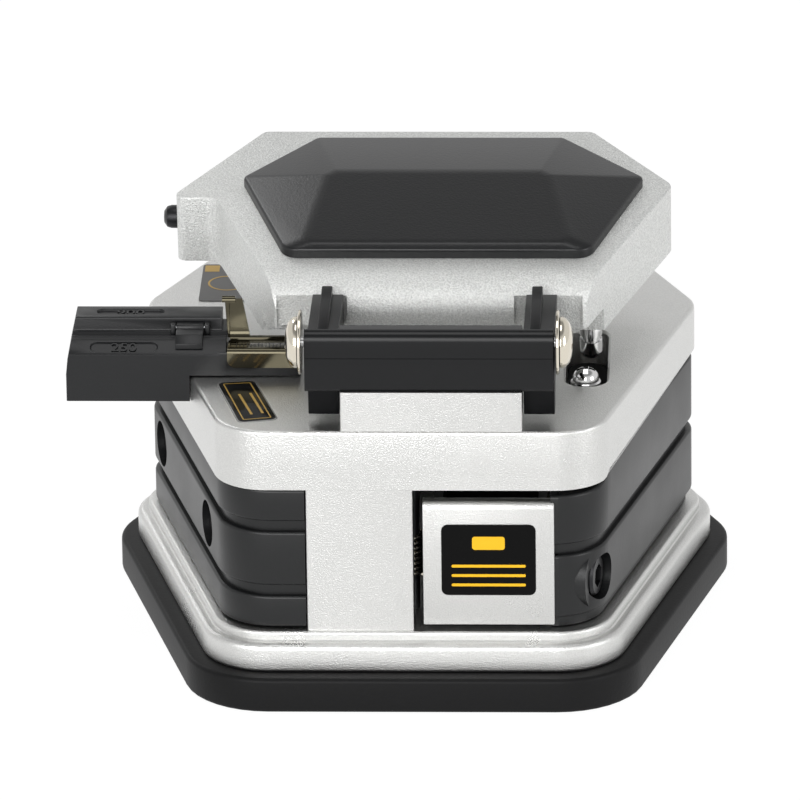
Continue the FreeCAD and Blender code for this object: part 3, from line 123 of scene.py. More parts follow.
def larger(tree, *values):
    """The larger of two values."""
    pick = add(tree, "Math", {"operation": "MAXIMUM"})
    for source, socket in zip(values, pick.inputs):
        tree.links.new(source, socket)
    return pick.outputs[0]


def blend(tree, share, first, second):
    """A mix of two shaders."""
    mix = add(tree, "MixShader")
    for source, socket in zip((share, first.outputs[0], second.outputs[0]), mix.inputs):
        tree.links.new(source, socket)
    return mix


def surface(name, colour, metal=0.0, rough=0.5, grain=0.0, grain_mm=0.3, speckle=0.0, blotch=0.0,
            **extra):
    """A finish: base colour, and a fine grain that roughens it and lifts its normal."""
    material = bpy.data.materials.new(name)
    tree = bare_tree(material)
    out = add(tree, "OutputMaterial")
    shader = add(tree, "BsdfPrincipled", {"Metallic": metal, "Roughness": rough})
    shader.inputs["Base Color"].default_value = srgb(colour)
    for key, value in extra.items():
        shader.inputs[key.replace("_", " ")].default_value = value
    tree.links.new(shader.outputs[0], out.inputs["Surface"])
    place = add(tree, "TexCoord")
    if grain or speckle:
        noise = add(tree, "TexNoise", {"Scale": 1 / (grain_mm * MM), "Detail": 2.5,
                                       "Roughness": 0.6}, Vector=place.outputs["Object"])
    if speckle:
        tint = add(tree, "MapRange", {"From Min": 0.3, "From Max": 0.7, "To Min": 1 - speckle,
                                      "To Max": 1 + speckle}, Value=noise.outputs["Fac"])
        scaled = add(tree, "VectorMath", {"operation": "SCALE"}, Scale=tint.outputs["Result"])
        scaled.inputs[0].default_value = srgb(colour)[:3]
        tree.links.new(scaled.outputs["Vector"], shader.inputs["Base Color"])
    if blotch:
        cloud = add(tree, "TexNoise", {"Scale": 1 / (9 * MM), "Detail": 3.0},
                    Vector=place.outputs["Object"])
        worn = add(tree, "MapRange", {"From Min": 0.3, "From Max": 0.7, "To Min": rough - blotch,
                                      "To Max": rough + blotch}, Value=cloud.outputs["Fac"])
        tree.links.new(worn.outputs["Result"], shader.inputs["Roughness"])
    if grain:
        bump = add(tree, "Bump", {"Strength": 1.0, "Distance": grain * MM},
                   Height=noise.outputs["Fac"])
        tree.links.new(bump.outputs["Normal"], shader.inputs["Normal"])
    return material


BLASTED = surface("bead_blasted_anodised_aluminium", "d8d8d6", metal=1.0, rough=0.3, grain=0.06,
                  grain_mm=0.16, speckle=0.08, blotch=0.03)
LID_METAL = surface("coarse_blasted_anodised_aluminium", "dedfdd", metal=0.6, rough=0.45,
                    grain=0.12, grain_mm=0.2, speckle=0.2, blotch=0.03)
COVER_PLASTIC = surface("satin_moulded_black_nylon", "151617", rough=0.36, grain=0.008,
                        grain_mm=0.35, blotch=0.03, Specular_IOR_Level=0.4)
FOOT_RUBBER = surface("matt_black_moulded_rubber", "0d0d0e", rough=0.5, grain=0.02, grain_mm=0.4,
                      speckle=0.1, Specular_IOR_Level=0.2)
BAR_PLASTIC = surface("smooth_black_acetal", "0d0e10", rough=0.27, grain=0.005, grain_mm=0.6,
                      speckle=0.08, Specular_IOR_Level=0.3)
# Painted shade: the arms get a darker, less reflective copy of the bar's black acetal that stands
# in for the shade near the hinge.
ARM_PLASTIC_PAINTED_SHADE = surface("black_acetal_painted_hinge_shade", "0a0b0d", rough=0.3, grain=0.005, grain_mm=0.6,
                      speckle=0.08, Specular_IOR_Level=0.12)
PAD_PLASTIC = surface("textured_black_press_pad", "0e0f11", rough=0.32, grain=0.02, grain_mm=0.3,
                      speckle=0.1, Specular_IOR_Level=0.45)
HOLDER_PLASTIC = surface("glass_filled_black_polymer", "121315", rough=0.36, grain=0.01,
                         grain_mm=0.3, speckle=0.1, Specular_IOR_Level=0.4)
NICKEL = surface("bright_nickel_plate", "dcd5c6", metal=1.0, rough=0.14, blotch=0.04)
# Painted reflection: the channel's nickel is given a dark colour that stands in for the dark holder
# it mirrors; the washers keep the bright nickel.
NICKEL_PAINTED_DARK_REFLECTION = surface("nickel_plate_painted_dark_reflection", "4f4b3e", metal=1.0, rough=0.12, blotch=0.04)
CHROME = surface("polished_chrome_steel", "dcdcdc", metal=1.0, rough=0.08)
STEEL = surface("ground_tool_steel", "a9aaac", metal=1.0, rough=0.3, grain=0.008, grain_mm=0.15)
BLACK_STEEL = surface("black_oxide_screw_steel", "2a2a2c", metal=0.7, rough=0.35)
CARBIDE = surface("ground_tungsten_carbide", "8b8c8f", metal=1.0, rough=0.22)
BRASS = surface("turned_brass", "c9a35a", metal=1.0, rough=0.25)
SOFT_RUBBER = surface("smooth_clamp_rubber", "303032", rough=0.7)
DARK_INSIDE = surface("unlit_black_cavity_lining", "0d0d0e", rough=0.8)
FOIL_BLACK = surface("black_printed_foil", "080808", rough=0.12, Specular_IOR_Level=0.1)
FOIL_EDGE = surface("clear_resin_edge", "8f8f8d", rough=0.2)
FOIL_GREY = surface("grey_printed_foil", "4c4b49", rough=0.3)
AMBER_INK = surface("amber_screen_ink", "ffc408", rough=0.45)
GOLD_INK = surface("gold_screen_ink", "c4a04e", metal=0.3, rough=0.4)


# ---------------- building
def put(name, data):
    """A new object in the scene that holds the data."""
    holder = bpy.data.objects.new(name, data)
    bpy.context.scene.collection.objects.link(holder)
    return holder


def moved(bm, matrix):
    """The bmesh, moved by a matrix."""
    bmesh.ops.transform(bm, matrix=matrix, verts=bm.verts)
    return bm


def finish_piece(name, bm, material, body, replaced=(), shut=False, soft=32):
    """Turn a bmesh in mm into a piece of the object that rides on a body."""
    if shut:
        moved(bm, SHUT_TO_REST)
    bmesh.ops.scale(bm, vec=(MM, MM, MM), verts=bm.verts)
    bmesh.ops.recalc_face_normals(bm, faces=bm.faces)
    limit = math.radians(soft)
    for face in bm.faces:
        face.smooth = True
    for edge in bm.edges:
        edge.smooth = len(edge.link_faces) == 2 and edge.calc_face_angle(0) < limit
    mesh = bpy.data.meshes.new(name)
    bm.to_mesh(mesh)
    bm.free()
    mesh.materials.append(material)
    piece = put(name, mesh)
    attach(piece, body)
    if replaced:
        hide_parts(*replaced)
    return piece


def ring(corners, inset=0.0, steps=8):
    """Points round a polygon of (x, y, radius) corners, anticlockwise, moved inwards by inset."""
    count = len(corners)
    flat = [Vector(corner[:2]) for corner in corners]
    sides = []
    for i in range(count):
        along = (flat[(i + 1) % count] - flat[i]).normalized()
        sides.append((flat[i] + Vector((-along.y, along.x)) * inset, along))
    points = []
    for i in range(count):
        (start, before), (end, after) = sides[i - 1], sides[i]
        turn = before.x * after.y - before.y * after.x
        gap = end - start
        corner = start + before * ((gap.x * after.y - gap.y * after.x) / turn)
        sign = math.copysign(1, turn)
        angle = math.atan2(turn, before.dot(after))
        radius = max(corners[i][2] - inset * sign, 0.02)
        touch = corner - before * radius * math.tan(abs(angle) / 2)
        centre = touch + Vector((-before.y, before.x)) * radius * sign
        for k in range(steps + 1):
            points.append(centre + Matrix.Rotation(angle * k / steps, 2) @ (touch - centre))
    return points


def rolled(low, high, low_round=0.0, high_round=0.0, steps=4):
    """(inset, z) pairs up the side of a plate whose lower and upper edges are rounded."""
    pairs = []
    if low_round:
        pairs += [(low_round * (1 - math.sin(math.pi / 2 * k / steps)),
                   low + low_round * (1 - math.cos(math.pi / 2 * k / steps)))
                  for k in range(steps + 1)]
    else:
        pairs.append((0.0, low))
    if high_round:
        pairs += [(high_round * (1 - math.cos(math.pi / 2 * k / steps)),
                   high - high_round * (1 - math.sin(math.pi / 2 * k / steps)))
                  for k in range(steps + 1)]
    else:
        pairs.append((0.0, high))
    return pairs


def skin(bm, loops, closed=True, caps=True):
    """Faces between successive loops of points; the first and last are capped."""
    rows = [[bm.verts.new(point) for point in loop] for loop in loops]
    for low, high in zip(rows, rows[1:]):
        count = len(low)
        for i in range(count if closed else count - 1):
            j = (i + 1) % count
            bm.faces.new((low[i], low[j], high[j], high[i]))
    if caps:
        bm.faces.new(reversed(rows[0]))
        bm.faces.new(rows[-1])
    return bm


def plate(corners, levels, steps=8):
    """A plate with rounded corners built up through (inset, z) levels."""
    loops = [[(p.x, p.y, z) for p in ring(corners, inset, steps)] for inset, z in levels]
    return skin(bmesh.new(), loops)


def round_edges(bm, radius, segments=3, least=30):
    """Round every edge sharper than an angle."""
    edges = [edge for edge in bm.edges if len(edge.link_faces) == 2
             and edge.calc_face_angle(0) > math.radians(least)]
    bmesh.ops.bevel(bm, geom=edges, offset=radius, offset_type="OFFSET", segments=segments,
                    profile=0.5, affect="EDGES", clamp_overlap=True, material=-1)
    return bm


def soften(bm, edges, radius, segments=3):
    """Round the given edges."""
    bmesh.ops.bevel(bm, geom=edges, offset=radius, segments=segments, profile=0.5, affect="EDGES",
                    material=-1)


def upright_edges(bm):
    """The edges that run up and down."""
    return [edge for edge in bm.edges if abs(edge.verts[0].co.z - edge.verts[1].co.z) > 1]


def rectangle(middle, half, radius):
    """Corners of a rectangle about its middle, anticlockwise, each with the same radius."""
    (x, y), (wide, tall) = middle, half
    return [(x - wide, y - tall, radius), (x + wide, y - tall, radius),
            (x + wide, y + tall, radius), (x - wide, y + tall, radius)]


def block(x, y, z, radius=0.0, segments=3):
    """A block between pairs, its edges rounded."""
    bm = bmesh.new()
    bmesh.ops.create_cube(bm, size=1.0)
    size = [high - low for low, high in (x, y, z)]
    middle = [(high + low) / 2 for low, high in (x, y, z)]
    moved(bm, Matrix.Translation(middle) @ Matrix.Diagonal((*size, 1)))
    return round_edges(bm, radius, segments) if radius else bm


def along_x(profile, left, right, radius=0.0, segments=3):
    """A closed (y, z) profile drawn out along X, its edges rounded."""
    bm = skin(bmesh.new(), [[(x, y, z) for y, z in profile] for x in (left, right)])
    bmesh.ops.recalc_face_normals(bm, faces=bm.faces)
    return round_edges(bm, radius, segments) if radius else bm


def turned(profile, origin, axis, steps=48):
    """A solid of revolution from (radius, distance) pairs along an axis from an origin."""
    loops = []
    for radius, distance in profile:
        loops.append([(radius * math.cos(2 * math.pi * k / steps),
                       radius * math.sin(2 * math.pi * k / steps), distance)
                      for k in range(steps)])
    spin = Vector((0, 0, 1)).rotation_difference(Vector(axis)).to_matrix().to_4x4()
    return moved(skin(bmesh.new(), loops), Matrix.Translation(origin) @ spin)


def arc(centre_y, centre_z, radius, start, end, steps=8):
    """(y, z) points of an arc, its angles in degrees from +Y towards +Z."""
    turns = [math.radians(start + (end - start) * k / steps) for k in range(steps + 1)]
    return [(centre_y + radius * math.cos(a), centre_z + radius * math.sin(a)) for a in turns]


def merge(*parts):
    """Several bmeshes as one."""
    whole = bmesh.new()
    for part in parts:
        mesh = bpy.data.meshes.new("part")
        part.to_mesh(mesh)
        part.free()
        whole.from_mesh(mesh)
        bpy.data.meshes.remove(mesh)
    return whole


def carve(bm, *tools, operation="DIFFERENCE"):
    """Take tools out of a solid, or join them to it."""
    objects = []
    for part in (bm, merge(*tools)):
        bmesh.ops.recalc_face_normals(part, faces=part.faces)
        mesh = bpy.data.meshes.new("carving")
        part.to_mesh(mesh)
        part.free()
        objects.append(put("carving", mesh))
    solid, tool = objects
    modifier = solid.modifiers.new("carve", "BOOLEAN")
    modifier.operation = operation
    modifier.solver = "EXACT"
    modifier.use_self = len(tools) > 1
    modifier.object = tool
    result = bmesh.new()
    result.from_object(solid, bpy.context.evaluated_depsgraph_get())
    for holder in objects:
        mesh = holder.data
        bpy.data.objects.remove(holder)
        bpy.data.meshes.remove(mesh)
    return result


def join(bm, *tools):
    """Join tools to a solid."""
    return carve(bm, *tools, operation="UNION")


# ---------------- the hexagon
def hexagon(grow, front_round, side_round=3.0):
    """Corners of the body's outline moved outwards, anticlockwise from the front left."""
    half_turn = math.pi / 4
    front_x = FRONT_HALF + grow * math.tan(half_turn - FRONT_LEAN / 2)
    back_x = BACK_HALF + grow * math.tan(half_turn - BACK_LEAN / 2)
    front, back = FRONT - grow, BACK + grow
    side_y = ((back_x - front_x + back * math.tan(BACK_LEAN) + front * math.tan(FRONT_LEAN))
              / (math.tan(FRONT_LEAN) + math.tan(BACK_LEAN)))
    side_x = front_x + (side_y - front) * math.tan(FRONT_LEAN)
    return [(-front_x, front, front_round), (front_x, front, front_round),
            (side_x, side_y, side_round), (back_x, back, side_round),
            (-back_x, back, side_round), (-side_x, side_y, side_round)]


def facet_x(y):
    """Half width of the deck's front facets at a depth y."""
    return FRONT_HALF + (y - FRONT) * math.tan(FRONT_LEAN)


def smooth_step(value, low, high):
    """0 below low and 1 above high, with an eased rise between."""
    part = min(max((value - low) / (high - low), 0), 1)
    return part * part * (3 - 2 * part)


# ---------------- foot and base
def build_base():
    """The rubber-faced foot and the plate above it with its two steps."""
    foot = plate(hexagon(3.8, 10.0, 9.3), rolled(0.0, BASE_TOP, 0.45, 0.5))
    finish_piece("foot", foot, FOOT_RUBBER, "base", ["foot_pad"])
    step_in, step_low = 1.3, STEP_TOP + 0.12
    levels = rolled(BASE_TOP, STEP_TOP, 0.45, 0.75, 6)
    levels += [(step_in - 0.15, STEP_TOP), (step_in, step_low)]
    levels += [(step_in + inset, z) for inset, z in rolled(step_low, FLOOR, 0.0, 0.35)[1:]]
    finish_piece("base_steps", plate(hexagon(1.8, 8.0, 7.3), levels, 12), BLASTED, "base",
                 ["base_plate"])


# ---------------- side covers
SHELL_INSET = 0.35
SHELL_WALL = 2.4
GROOVE = 0.7
GROOVE_HALF = 0.65
BORE, BORE_DEEP = 2.7, 3.4
SHANK, SHANK_DEEP = 1.75, 6.0
JOG = (-24.8, -21.5)
JOG_TALL = 1.85
COVER_CORNERS = hexagon(0, 7.0, 5.5)


def jog_points(start, end):
    """Points along the right facet through the stretch where the edges on it step up."""
    reach = [start.y + (JOG[1] - start.y) * k / 12 for k in range(1, 13)]
    return [start.lerp(end, (y - start.y) / (end.y - start.y)) for y in reach]


def cover_path(inset, start_x, end_x, order, start_y, end_y):
    """Plan points of a cover at an inset: a start on one side, corners in order, an end."""
    steps = 8
    points = ring(COVER_CORNERS, inset, steps)
    path = [Vector((start_x, start_y(inset)))]
    for corner in order:
        path += points[corner * (steps + 1):(corner + 1) * (steps + 1)]
        if corner == 1:
            path += jog_points(path[-1], points[2 * (steps + 1)])
    path.append(Vector((end_x, end_y(inset))))
    return path


def banded(bands, top_round=0.35):
    """(inset, z) section of a wall: rounded bands with recesses between, then the inner face."""
    section = []
    for low, high in bands:
        section.append((SHELL_INSET + GROOVE, low))
        section += [(SHELL_INSET + inset, z)
                    for inset, z in rolled(low, high, top_round, top_round, 3)]
        section.append((SHELL_INSET + GROOVE, high))
    low, high = bands[0][0], bands[-1][1]
    return section + [(SHELL_INSET + SHELL_WALL, high), (SHELL_INSET + SHELL_WALL, low)]


def cover(section, start_x, end_x, order, start_y, end_y, raise_top=None):
    """A hollow wall: the section swept along the plan, its top raised where asked."""
    loops = []
    paths = [cover_path(inset, start_x, end_x, order, start_y, end_y) for inset, _ in section]
    top = max(z for _, z in section)
    for i in range(len(paths[0])):
        loop = []
        for (_, z), path in zip(section, paths):
            point = path[i]
            lift = raise_top(point) if raise_top and z > top - 1.0 else 0.0
            loop.append((point.x, point.y, z + lift))
        loops.append(loop)
    return skin(bmesh.new(), loops)


def front_y(inset):
    """Depth of the front face, moved inwards."""
    return FRONT + inset


def back_y(inset):
    """Depth of the back face, moved inwards."""
    return BACK - inset


def screw_spots():
    """Where the cap screws sit in the flanks: skin point and inward direction."""
    spots = []
    for side, y, z in ((-1, 6.9, 17.2), (-1, -17.2, 17.2), (1, -24.2, 13.7)):
        inward = Vector((-side * math.cos(FRONT_LEAN), math.sin(FRONT_LEAN), 0))
        spots.append((Vector((side * facet_x(y), y, z)) + inward * SHELL_INSET, inward))
    return spots


def bore(spot, radius, depth):
    """A round tool that goes in at a screw's place."""
    return turned([(radius, -2), (radius, depth)], *spot, SCREW_ROUND)


def screw_boss(spot, radius):
    """The boss behind a cover that carries a cap screw."""
    return turned([(radius, 1.2), (radius, 4.0)], *spot, 32)


def pusher_window(middle):
    """The opening in the back of the covers that the pusher comes out of."""
    half = 4.7
    return block((middle - half, middle + half), (20, 30), (13.5, 20.1))


def build_covers():
    """The left cover with two grooves and the right cover with one, which meet at a seam."""
    spots = screw_spots()
    seam = -8.9
    low_groove, high_groove = FLOOR + 4.65, FLOOR + 12.5
    bands = [(FLOOR + 0.2, low_groove - GROOVE_HALF),
             (low_groove + GROOVE_HALF, high_groove - GROOVE_HALF),
             (high_groove + GROOVE_HALF, DECK_LOW - SEAM)]
    left = cover(banded(bands), seam, -12.05, (4, 5, 0), back_y, front_y)
    for spot in spots[:2]:
        left = join(left, screw_boss(spot, 3.9))
    left = carve(left, pusher_window(seam), *[bore(spot, BORE, BORE_DEEP) for spot in spots[:2]])
    left = carve(left, *[bore(spot, SHANK, SHANK_DEEP) for spot in spots[:2]])
    finish_piece("left_cover", left, COVER_PLASTIC, "base", ["left_shell"])

    groove = FLOOR + 9.65
    bands = [(FLOOR + 1.4, groove - GROOVE_HALF), (groove + GROOVE_HALF, DECK_LOW - 0.85)]
    foot_z = FLOOR + SEAM
    section = [(SHELL_INSET + GROOVE, foot_z)] + banded(bands)[:-1]
    section.append((SHELL_INSET + SHELL_WALL, foot_z))
    right = cover(section, 16.6, seam + SEAM, (1, 2, 3), front_y, back_y,
                  lambda p: JOG_TALL * smooth_step(p.y, *JOG) * (1 - smooth_step(p.y, 24.0, 26.0)))
    right = join(right, screw_boss(spots[2], 3.8))
    right = carve(right, pusher_window(seam), bore(spots[2], BORE, BORE_DEEP))
    right = carve(right, bore(spots[2], SHANK, SHANK_DEEP))
    finish_piece("right_cover", right, COVER_PLASTIC, "base", ["right_shell"])


def cap_screw(spot):
    """A cap screw sunk in its bore, with a hexagonal socket."""
    head = turned([(0.01, 0.8), (2.1, 0.8), (2.4, 1.1), (2.42, 3.4), (1.5, 3.4), (1.5, 4.6),
                   (0.01, 4.6)], *spot, SCREW_ROUND)
    key = turned([(1.4, -1.0), (1.4, 2.3)], *spot, 6)
    return carve(head, key)


# ---------------- deck
def deck_ring(corners, inset, steps=10):
    """The deck's outline, with more points where its lower edge steps up."""
    points = ring(corners, inset, steps)
    at = 2 * (steps + 1)
    return points[:at] + jog_points(points[at - 1], points[at]) + points[at:]


def build_deck():
    """The deck plate with its slots, and the leg that comes down at the front."""
    corners = hexagon(0, 6.2, 5.5)
    levels = rolled(DECK_LOW, DECK_TOP, 0.0, 0.45, 5)
    levels.insert(1, (0.0, DECK_LOW + 2.5))
    loops = []
    for inset, z in levels:
        loop = []
        for point in deck_ring(corners, inset):
            steps_up = z == DECK_LOW and point.x > 0
            lift = JOG_TALL * smooth_step(point.y, *JOG) if steps_up else 0.0
            loop.append((point.x, point.y, z + lift))
        loops.append(loop)
    deck = skin(bmesh.new(), loops)
    low, over = DECK_LOW - 3, DECK_TOP + 1
    slots = [block(SLIT, (-22.2, 20.2), (low, over)),
             block((2.5, 11.5), (-13.0, -6.5), (low, over)),
             block((-10.5, -2.7), (-17.2, 15.2), (low, DECK_TOP - 2.3)),
             block((-45, -19.5), (-8.8, -5.8), (DECK_TOP - 1.1, over))]
    slots.append(plate(slot_corners(0.0), [(0, span("stop_insert", 2)[0]), (0, DECK_TOP - 0.25),
                                           (-0.25, DECK_TOP + 0.01), (-0.3, over)]))
    slots.append(turned([(MAGNET_HOLE, -2.1), (MAGNET_HOLE, 1)], (*MAGNET_SPOT, DECK_TOP),
                        (0, 0, 1)))
    for slot in slots:
        deck = carve(deck, slot)
    finish_piece("deck_plate", deck, BLASTED, "base", ["deck"])
    leg = block((-11.9, 0.2), (FRONT, FRONT + 4), (FLOOR, DECK_LOW + 0.01))
    soften(leg, [edge for edge in upright_edges(leg) if edge.verts[0].co.y < FRONT + 1], 0.2)
    finish_piece("deck_leg", leg, BLASTED, "base")


def slot_corners(inset):
    """The stop slot's outline in the deck, with round ends."""
    (left, right), (front, back), _ = spans("stop_insert")
    round_end, play = 2.3, 0.1
    left, right, front, back = left - play + inset, right + play - inset, front - play, back + play
    return [(x, y, round_end) for x, y in ((left, front), (right, front), (right, back),
                                           (left, back))]


def build_deck_fittings():
    """The black floor of the stop slot and the cross-recessed screw in it."""
    floor_z = span("stop_insert", 2)[1]
    insert = plate(slot_corners(0.1), [(0, floor_z - 0.8), (0, floor_z)])
    finish_piece("stop_slot_floor", insert, DARK_INSIDE, "base", ["stop_insert"])
    (left, right), (front, back), (_, top) = spans("stop_screw")
    x, y, radius = (left + right) / 2, (front + back) / 2, (right - left) / 2
    shape = [(0.5, -2.0), (0.95, -2.0), (1, -1.9), (1, -1.6), (0.95, -1.5), (0.86, -1.45),
             (0.84, -0.95), (0.74, -0.55), (0.56, -0.25), (0.3, -0.06)]
    head = turned([(0.01, floor_z - top), (radius / 2, floor_z - top)]
                  + [(radius * share, z) for share, z in shape] + [(0.01, 0)],
                  (x, y, top), (0, 0, 1))
    cross = [block((x - a, x + a), (y - b, y + b), (top - 0.9, top + 1))
             for a, b in ((1.05, 0.25), (0.25, 1.05))]
    finish_piece("stop_screw_head", carve(head, *cross), CHROME, "base", ["stop_screw"])


# ---------------- hinge
def build_hinge():
    """The pedestal, the bar over the pin, and the washers and domed screws at the pin's ends."""
    pedestal = block(*spans("hinge_pedestal"))
    soften(pedestal, upright_edges(pedestal), 0.2)
    finish_piece("pedestal", pedestal, BLASTED, "base", ["hinge_pedestal"])

    (left, right), (front, back), (low, top) = spans("hinge_cover")
    under = low + 0.02
    roll = 1.2
    crease = low + 4.15
    bar = [(front + 0.55, under), (front + 0.32, low + 0.3), (front + 0.28, low + 0.42),
           (front + 0.03, crease - 0.85), (front, crease - 0.75), (front, crease - 0.05),
           (front + 0.05, crease), (front, crease + 0.05)]
    bar += arc(front + roll, top - roll, roll, 180, 90, 6)
    middle = bar + arc(back - roll, top - roll, roll, 90, 0, 6) + [(back, under)]
    skin_y, skin_z, open_y = AXIS.y - 1.2, AXIS.z + 1.2, AXIS.y - 0.5
    shell = bar + [(open_y, top), (open_y, skin_z), (skin_y, skin_z), (skin_y, under)]
    from_arm, to_arm = span("left_lid_arm", 0)[1], span("right_lid_arm", 0)[0]
    whole = join(along_x(middle, from_arm + 0.15, to_arm - 0.15),
                 along_x(shell, left, from_arm + 0.2))
    whole = join(whole, along_x(shell, to_arm - 0.2, right))
    finish_piece("hinge_bar", whole, BAR_PLASTIC, "base", ["hinge_cover"], soft=24)

    ends, washers = [], []
    pin_left, pin_right = span("hinge_pin", 0)
    for x, way in ((pin_left, -1), (pin_right, 1)):
        washers.append(turned([(1.3, 0), (3.5, 0), (3.65, 0.1), (3.65, 0.28), (3.5, 0.38),
                               (1.3, 0.4)], (x, AXIS.y, AXIS.z), (way, 0, 0), 64))
        dome = turned([(1.5, 0.4), (2.7, 0.4), (2.92, 0.5), (2.93, 0.75), (2.75, 1.1),
                       (2.3, 1.5), (1.6, 1.76), (0.9, 1.86), (0.01, 1.88)],
                      (x, AXIS.y, AXIS.z), (way, 0, 0), 64)
        reach = sorted((x + way * 1.15, x + way * 3))
        cross = [block(reach, (AXIS.y - a, AXIS.y + a), (AXIS.z - b, AXIS.z + b))
                 for a, b in ((1.5, 0.3), (0.3, 1.5))]
        ends.append(carve(dome, *cross))
    finish_piece("hinge_washers", merge(*washers), NICKEL, "base", ["pin_washers"])
    finish_piece("hinge_end_screws", merge(*ends), NICKEL, "base", ["pin_screws"])


# ---------------- lid
LID_NEAR = -12.4
LID_ROLL = 4.0


def roll_near_edge(bm):
    """Bend the lid's top down over its near edge in a quarter round."""
    cuts = 10
    for k in range(1, cuts + 1):
        y = LID_NEAR + LID_ROLL * (1 - math.cos(math.pi / 2 * k / cuts))
        bmesh.ops.bisect_plane(bm, geom=bm.verts[:] + bm.edges[:] + bm.faces[:],
                               plane_co=(0, y, 0), plane_no=(0, 1, 0))
    for vert in bm.verts:
        depth = vert.co.y - LID_NEAR
        if vert.co.z > LID_TOP - 0.01 and depth < LID_ROLL:
            vert.co.z -= LID_ROLL - math.sqrt(max(LID_ROLL ** 2 - (LID_ROLL - depth) ** 2, 0))


def lid_outline():
    """Plan of the lid plate with the ear at its left."""
    return [(-15.8, LID_NEAR, 0.8), (19.6, LID_NEAR, 0.8), (29.3, 11.4, 2.0), (19.8, 24.2, 1.2),
            (-18.5, 24.2, 1.2), (-28.9, 8.3, 1.0), (-23.4, 8.3, 2.2)]


def press_pad():
    """The pad: a low rim with round corners and slopes that roll over onto a leaning flat face."""
    low, rim_up = LID_TOP, 1.1
    near, ridge = (-5.4, 1.7), (9.0, 3.2)
    sunk, drop = low - 0.2, Vector((0, 0, 0.3))
    rim = [(-14.9, -5.9, 2.2), (19.9, -5.9, 2.2), (25.9, 11.3, 0.9), (16.4, 20.8, 0.9),
           (-12.1, 20.8, 0.9), (-20.4, 11.3, 0.9)]
    face = [(-12.9, near[0] + 0.2, 1.5), (17.9, near[0] + 0.2, 1.5), (15.0, 8.2, 0.5),
            (14.0, ridge[0], 0.5), (-9.5, ridge[0], 0.5), (-10.5, 8.2, 0.5)]

    def lifted(point):
        """A plan point raised onto the leaning face."""
        lean = (ridge[1] - near[1]) / (ridge[0] - near[0])
        return Vector((point.x, point.y, low + near[1] + (point.y - near[0]) * lean))

    outer = [Vector((p.x, p.y, low + rim_up)) for p in ring(rim, 0, 6)]
    edge = [lifted(p) for p in ring(face, 0, 6)]
    flat = [lifted(p) for p in ring(face, 0.75, 6)]
    loops = [[Vector((p.x, p.y, sunk)) for p in outer], [p - drop for p in outer]]
    for k in range(1, 5):
        share = k / 4
        loops.append([(p - drop).lerp(p, share).lerp(
            p.lerp(p + (q - p).normalized() * 0.4, share), share) for p, q in zip(outer, edge)])
    for k in range(7):
        share = k / 6
        loop = []
        for start, corner, end in zip(outer, edge, flat):
            before = corner + (start - corner).normalized() * min(0.7, (start - corner).length / 2)
            loop.append(before.lerp(corner, share).lerp(corner.lerp(end, share), share))
        loops.append(loop)
    return skin(bmesh.new(), loops)


def build_lid():
    """The lid plate with its recesses, the pad on it and the small screw in its ear."""
    loops = [[(p.x, p.y, z) for p in ring(lid_outline(), 0, 6)] for z in (LID_LOW, LID_TOP)]
    lid = skin(bmesh.new(), loops)
    bmesh.ops.recalc_face_normals(lid, faces=lid.faces)
    roll_near_edge(lid)
    top_edges = [edge for edge in lid.edges if len(edge.link_faces) == 2
                 and edge.calc_face_angle(0) > math.radians(40)
                 and min(v.co.z for v in edge.verts) > LID_STEP + 1
                 and min(v.co.y for v in edge.verts) > LID_NEAR + 0.9]
    soften(lid, top_edges, 0.22)
    lid = carve(lid, block((-40, 40), (-20, -7.6), (LID_LOW - 2, LID_STEP)))
    lid = carve(lid, block(SLIT, (-7.7, 20.0), (LID_LOW - 1, LID_STEP + 0.4)))
    recess_top = LID_TOP - 0.42
    for x in ((-15.62, -7.6), (11.4, 19.2)):
        tool = block(x, (LID_NEAR - 1, LID_NEAR + 0.8), (LID_STEP - 1, recess_top))
        edges = [edge for edge in tool.edges if abs(edge.verts[0].co.y - edge.verts[1].co.y) > 1
                 and edge.verts[0].co.z > recess_top - 0.1]
        soften(tool, edges, 0.7, 4)
        lid = carve(lid, tool)
    lid = carve(lid, turned([(MAGNET_HOLE, -1), (MAGNET_HOLE, 2.1)], (*MAGNET_SPOT, LID_LOW),
                            (0, 0, 1)))
    finish_piece("lid_slab", lid, LID_METAL, "lid", ["lid_plate"], shut=True)

    finish_piece("press_pad", press_pad(), PAD_PLASTIC, "lid", ["lid_pad"], shut=True, soft=60)

    head = turned([(0.01, 1.2), (0.7, 1.15), (1.2, 0.8), (1.35, 0.3), (1.35, -0.4), (0.8, -0.4),
                   (0.8, -4)], (-28.5, 11.3, LID_LOW + 4.2), (-1, 0, 0))
    finish_piece("ear_screw_head", head, BLACK_STEEL, "lid", ["ear_screw"], shut=True)


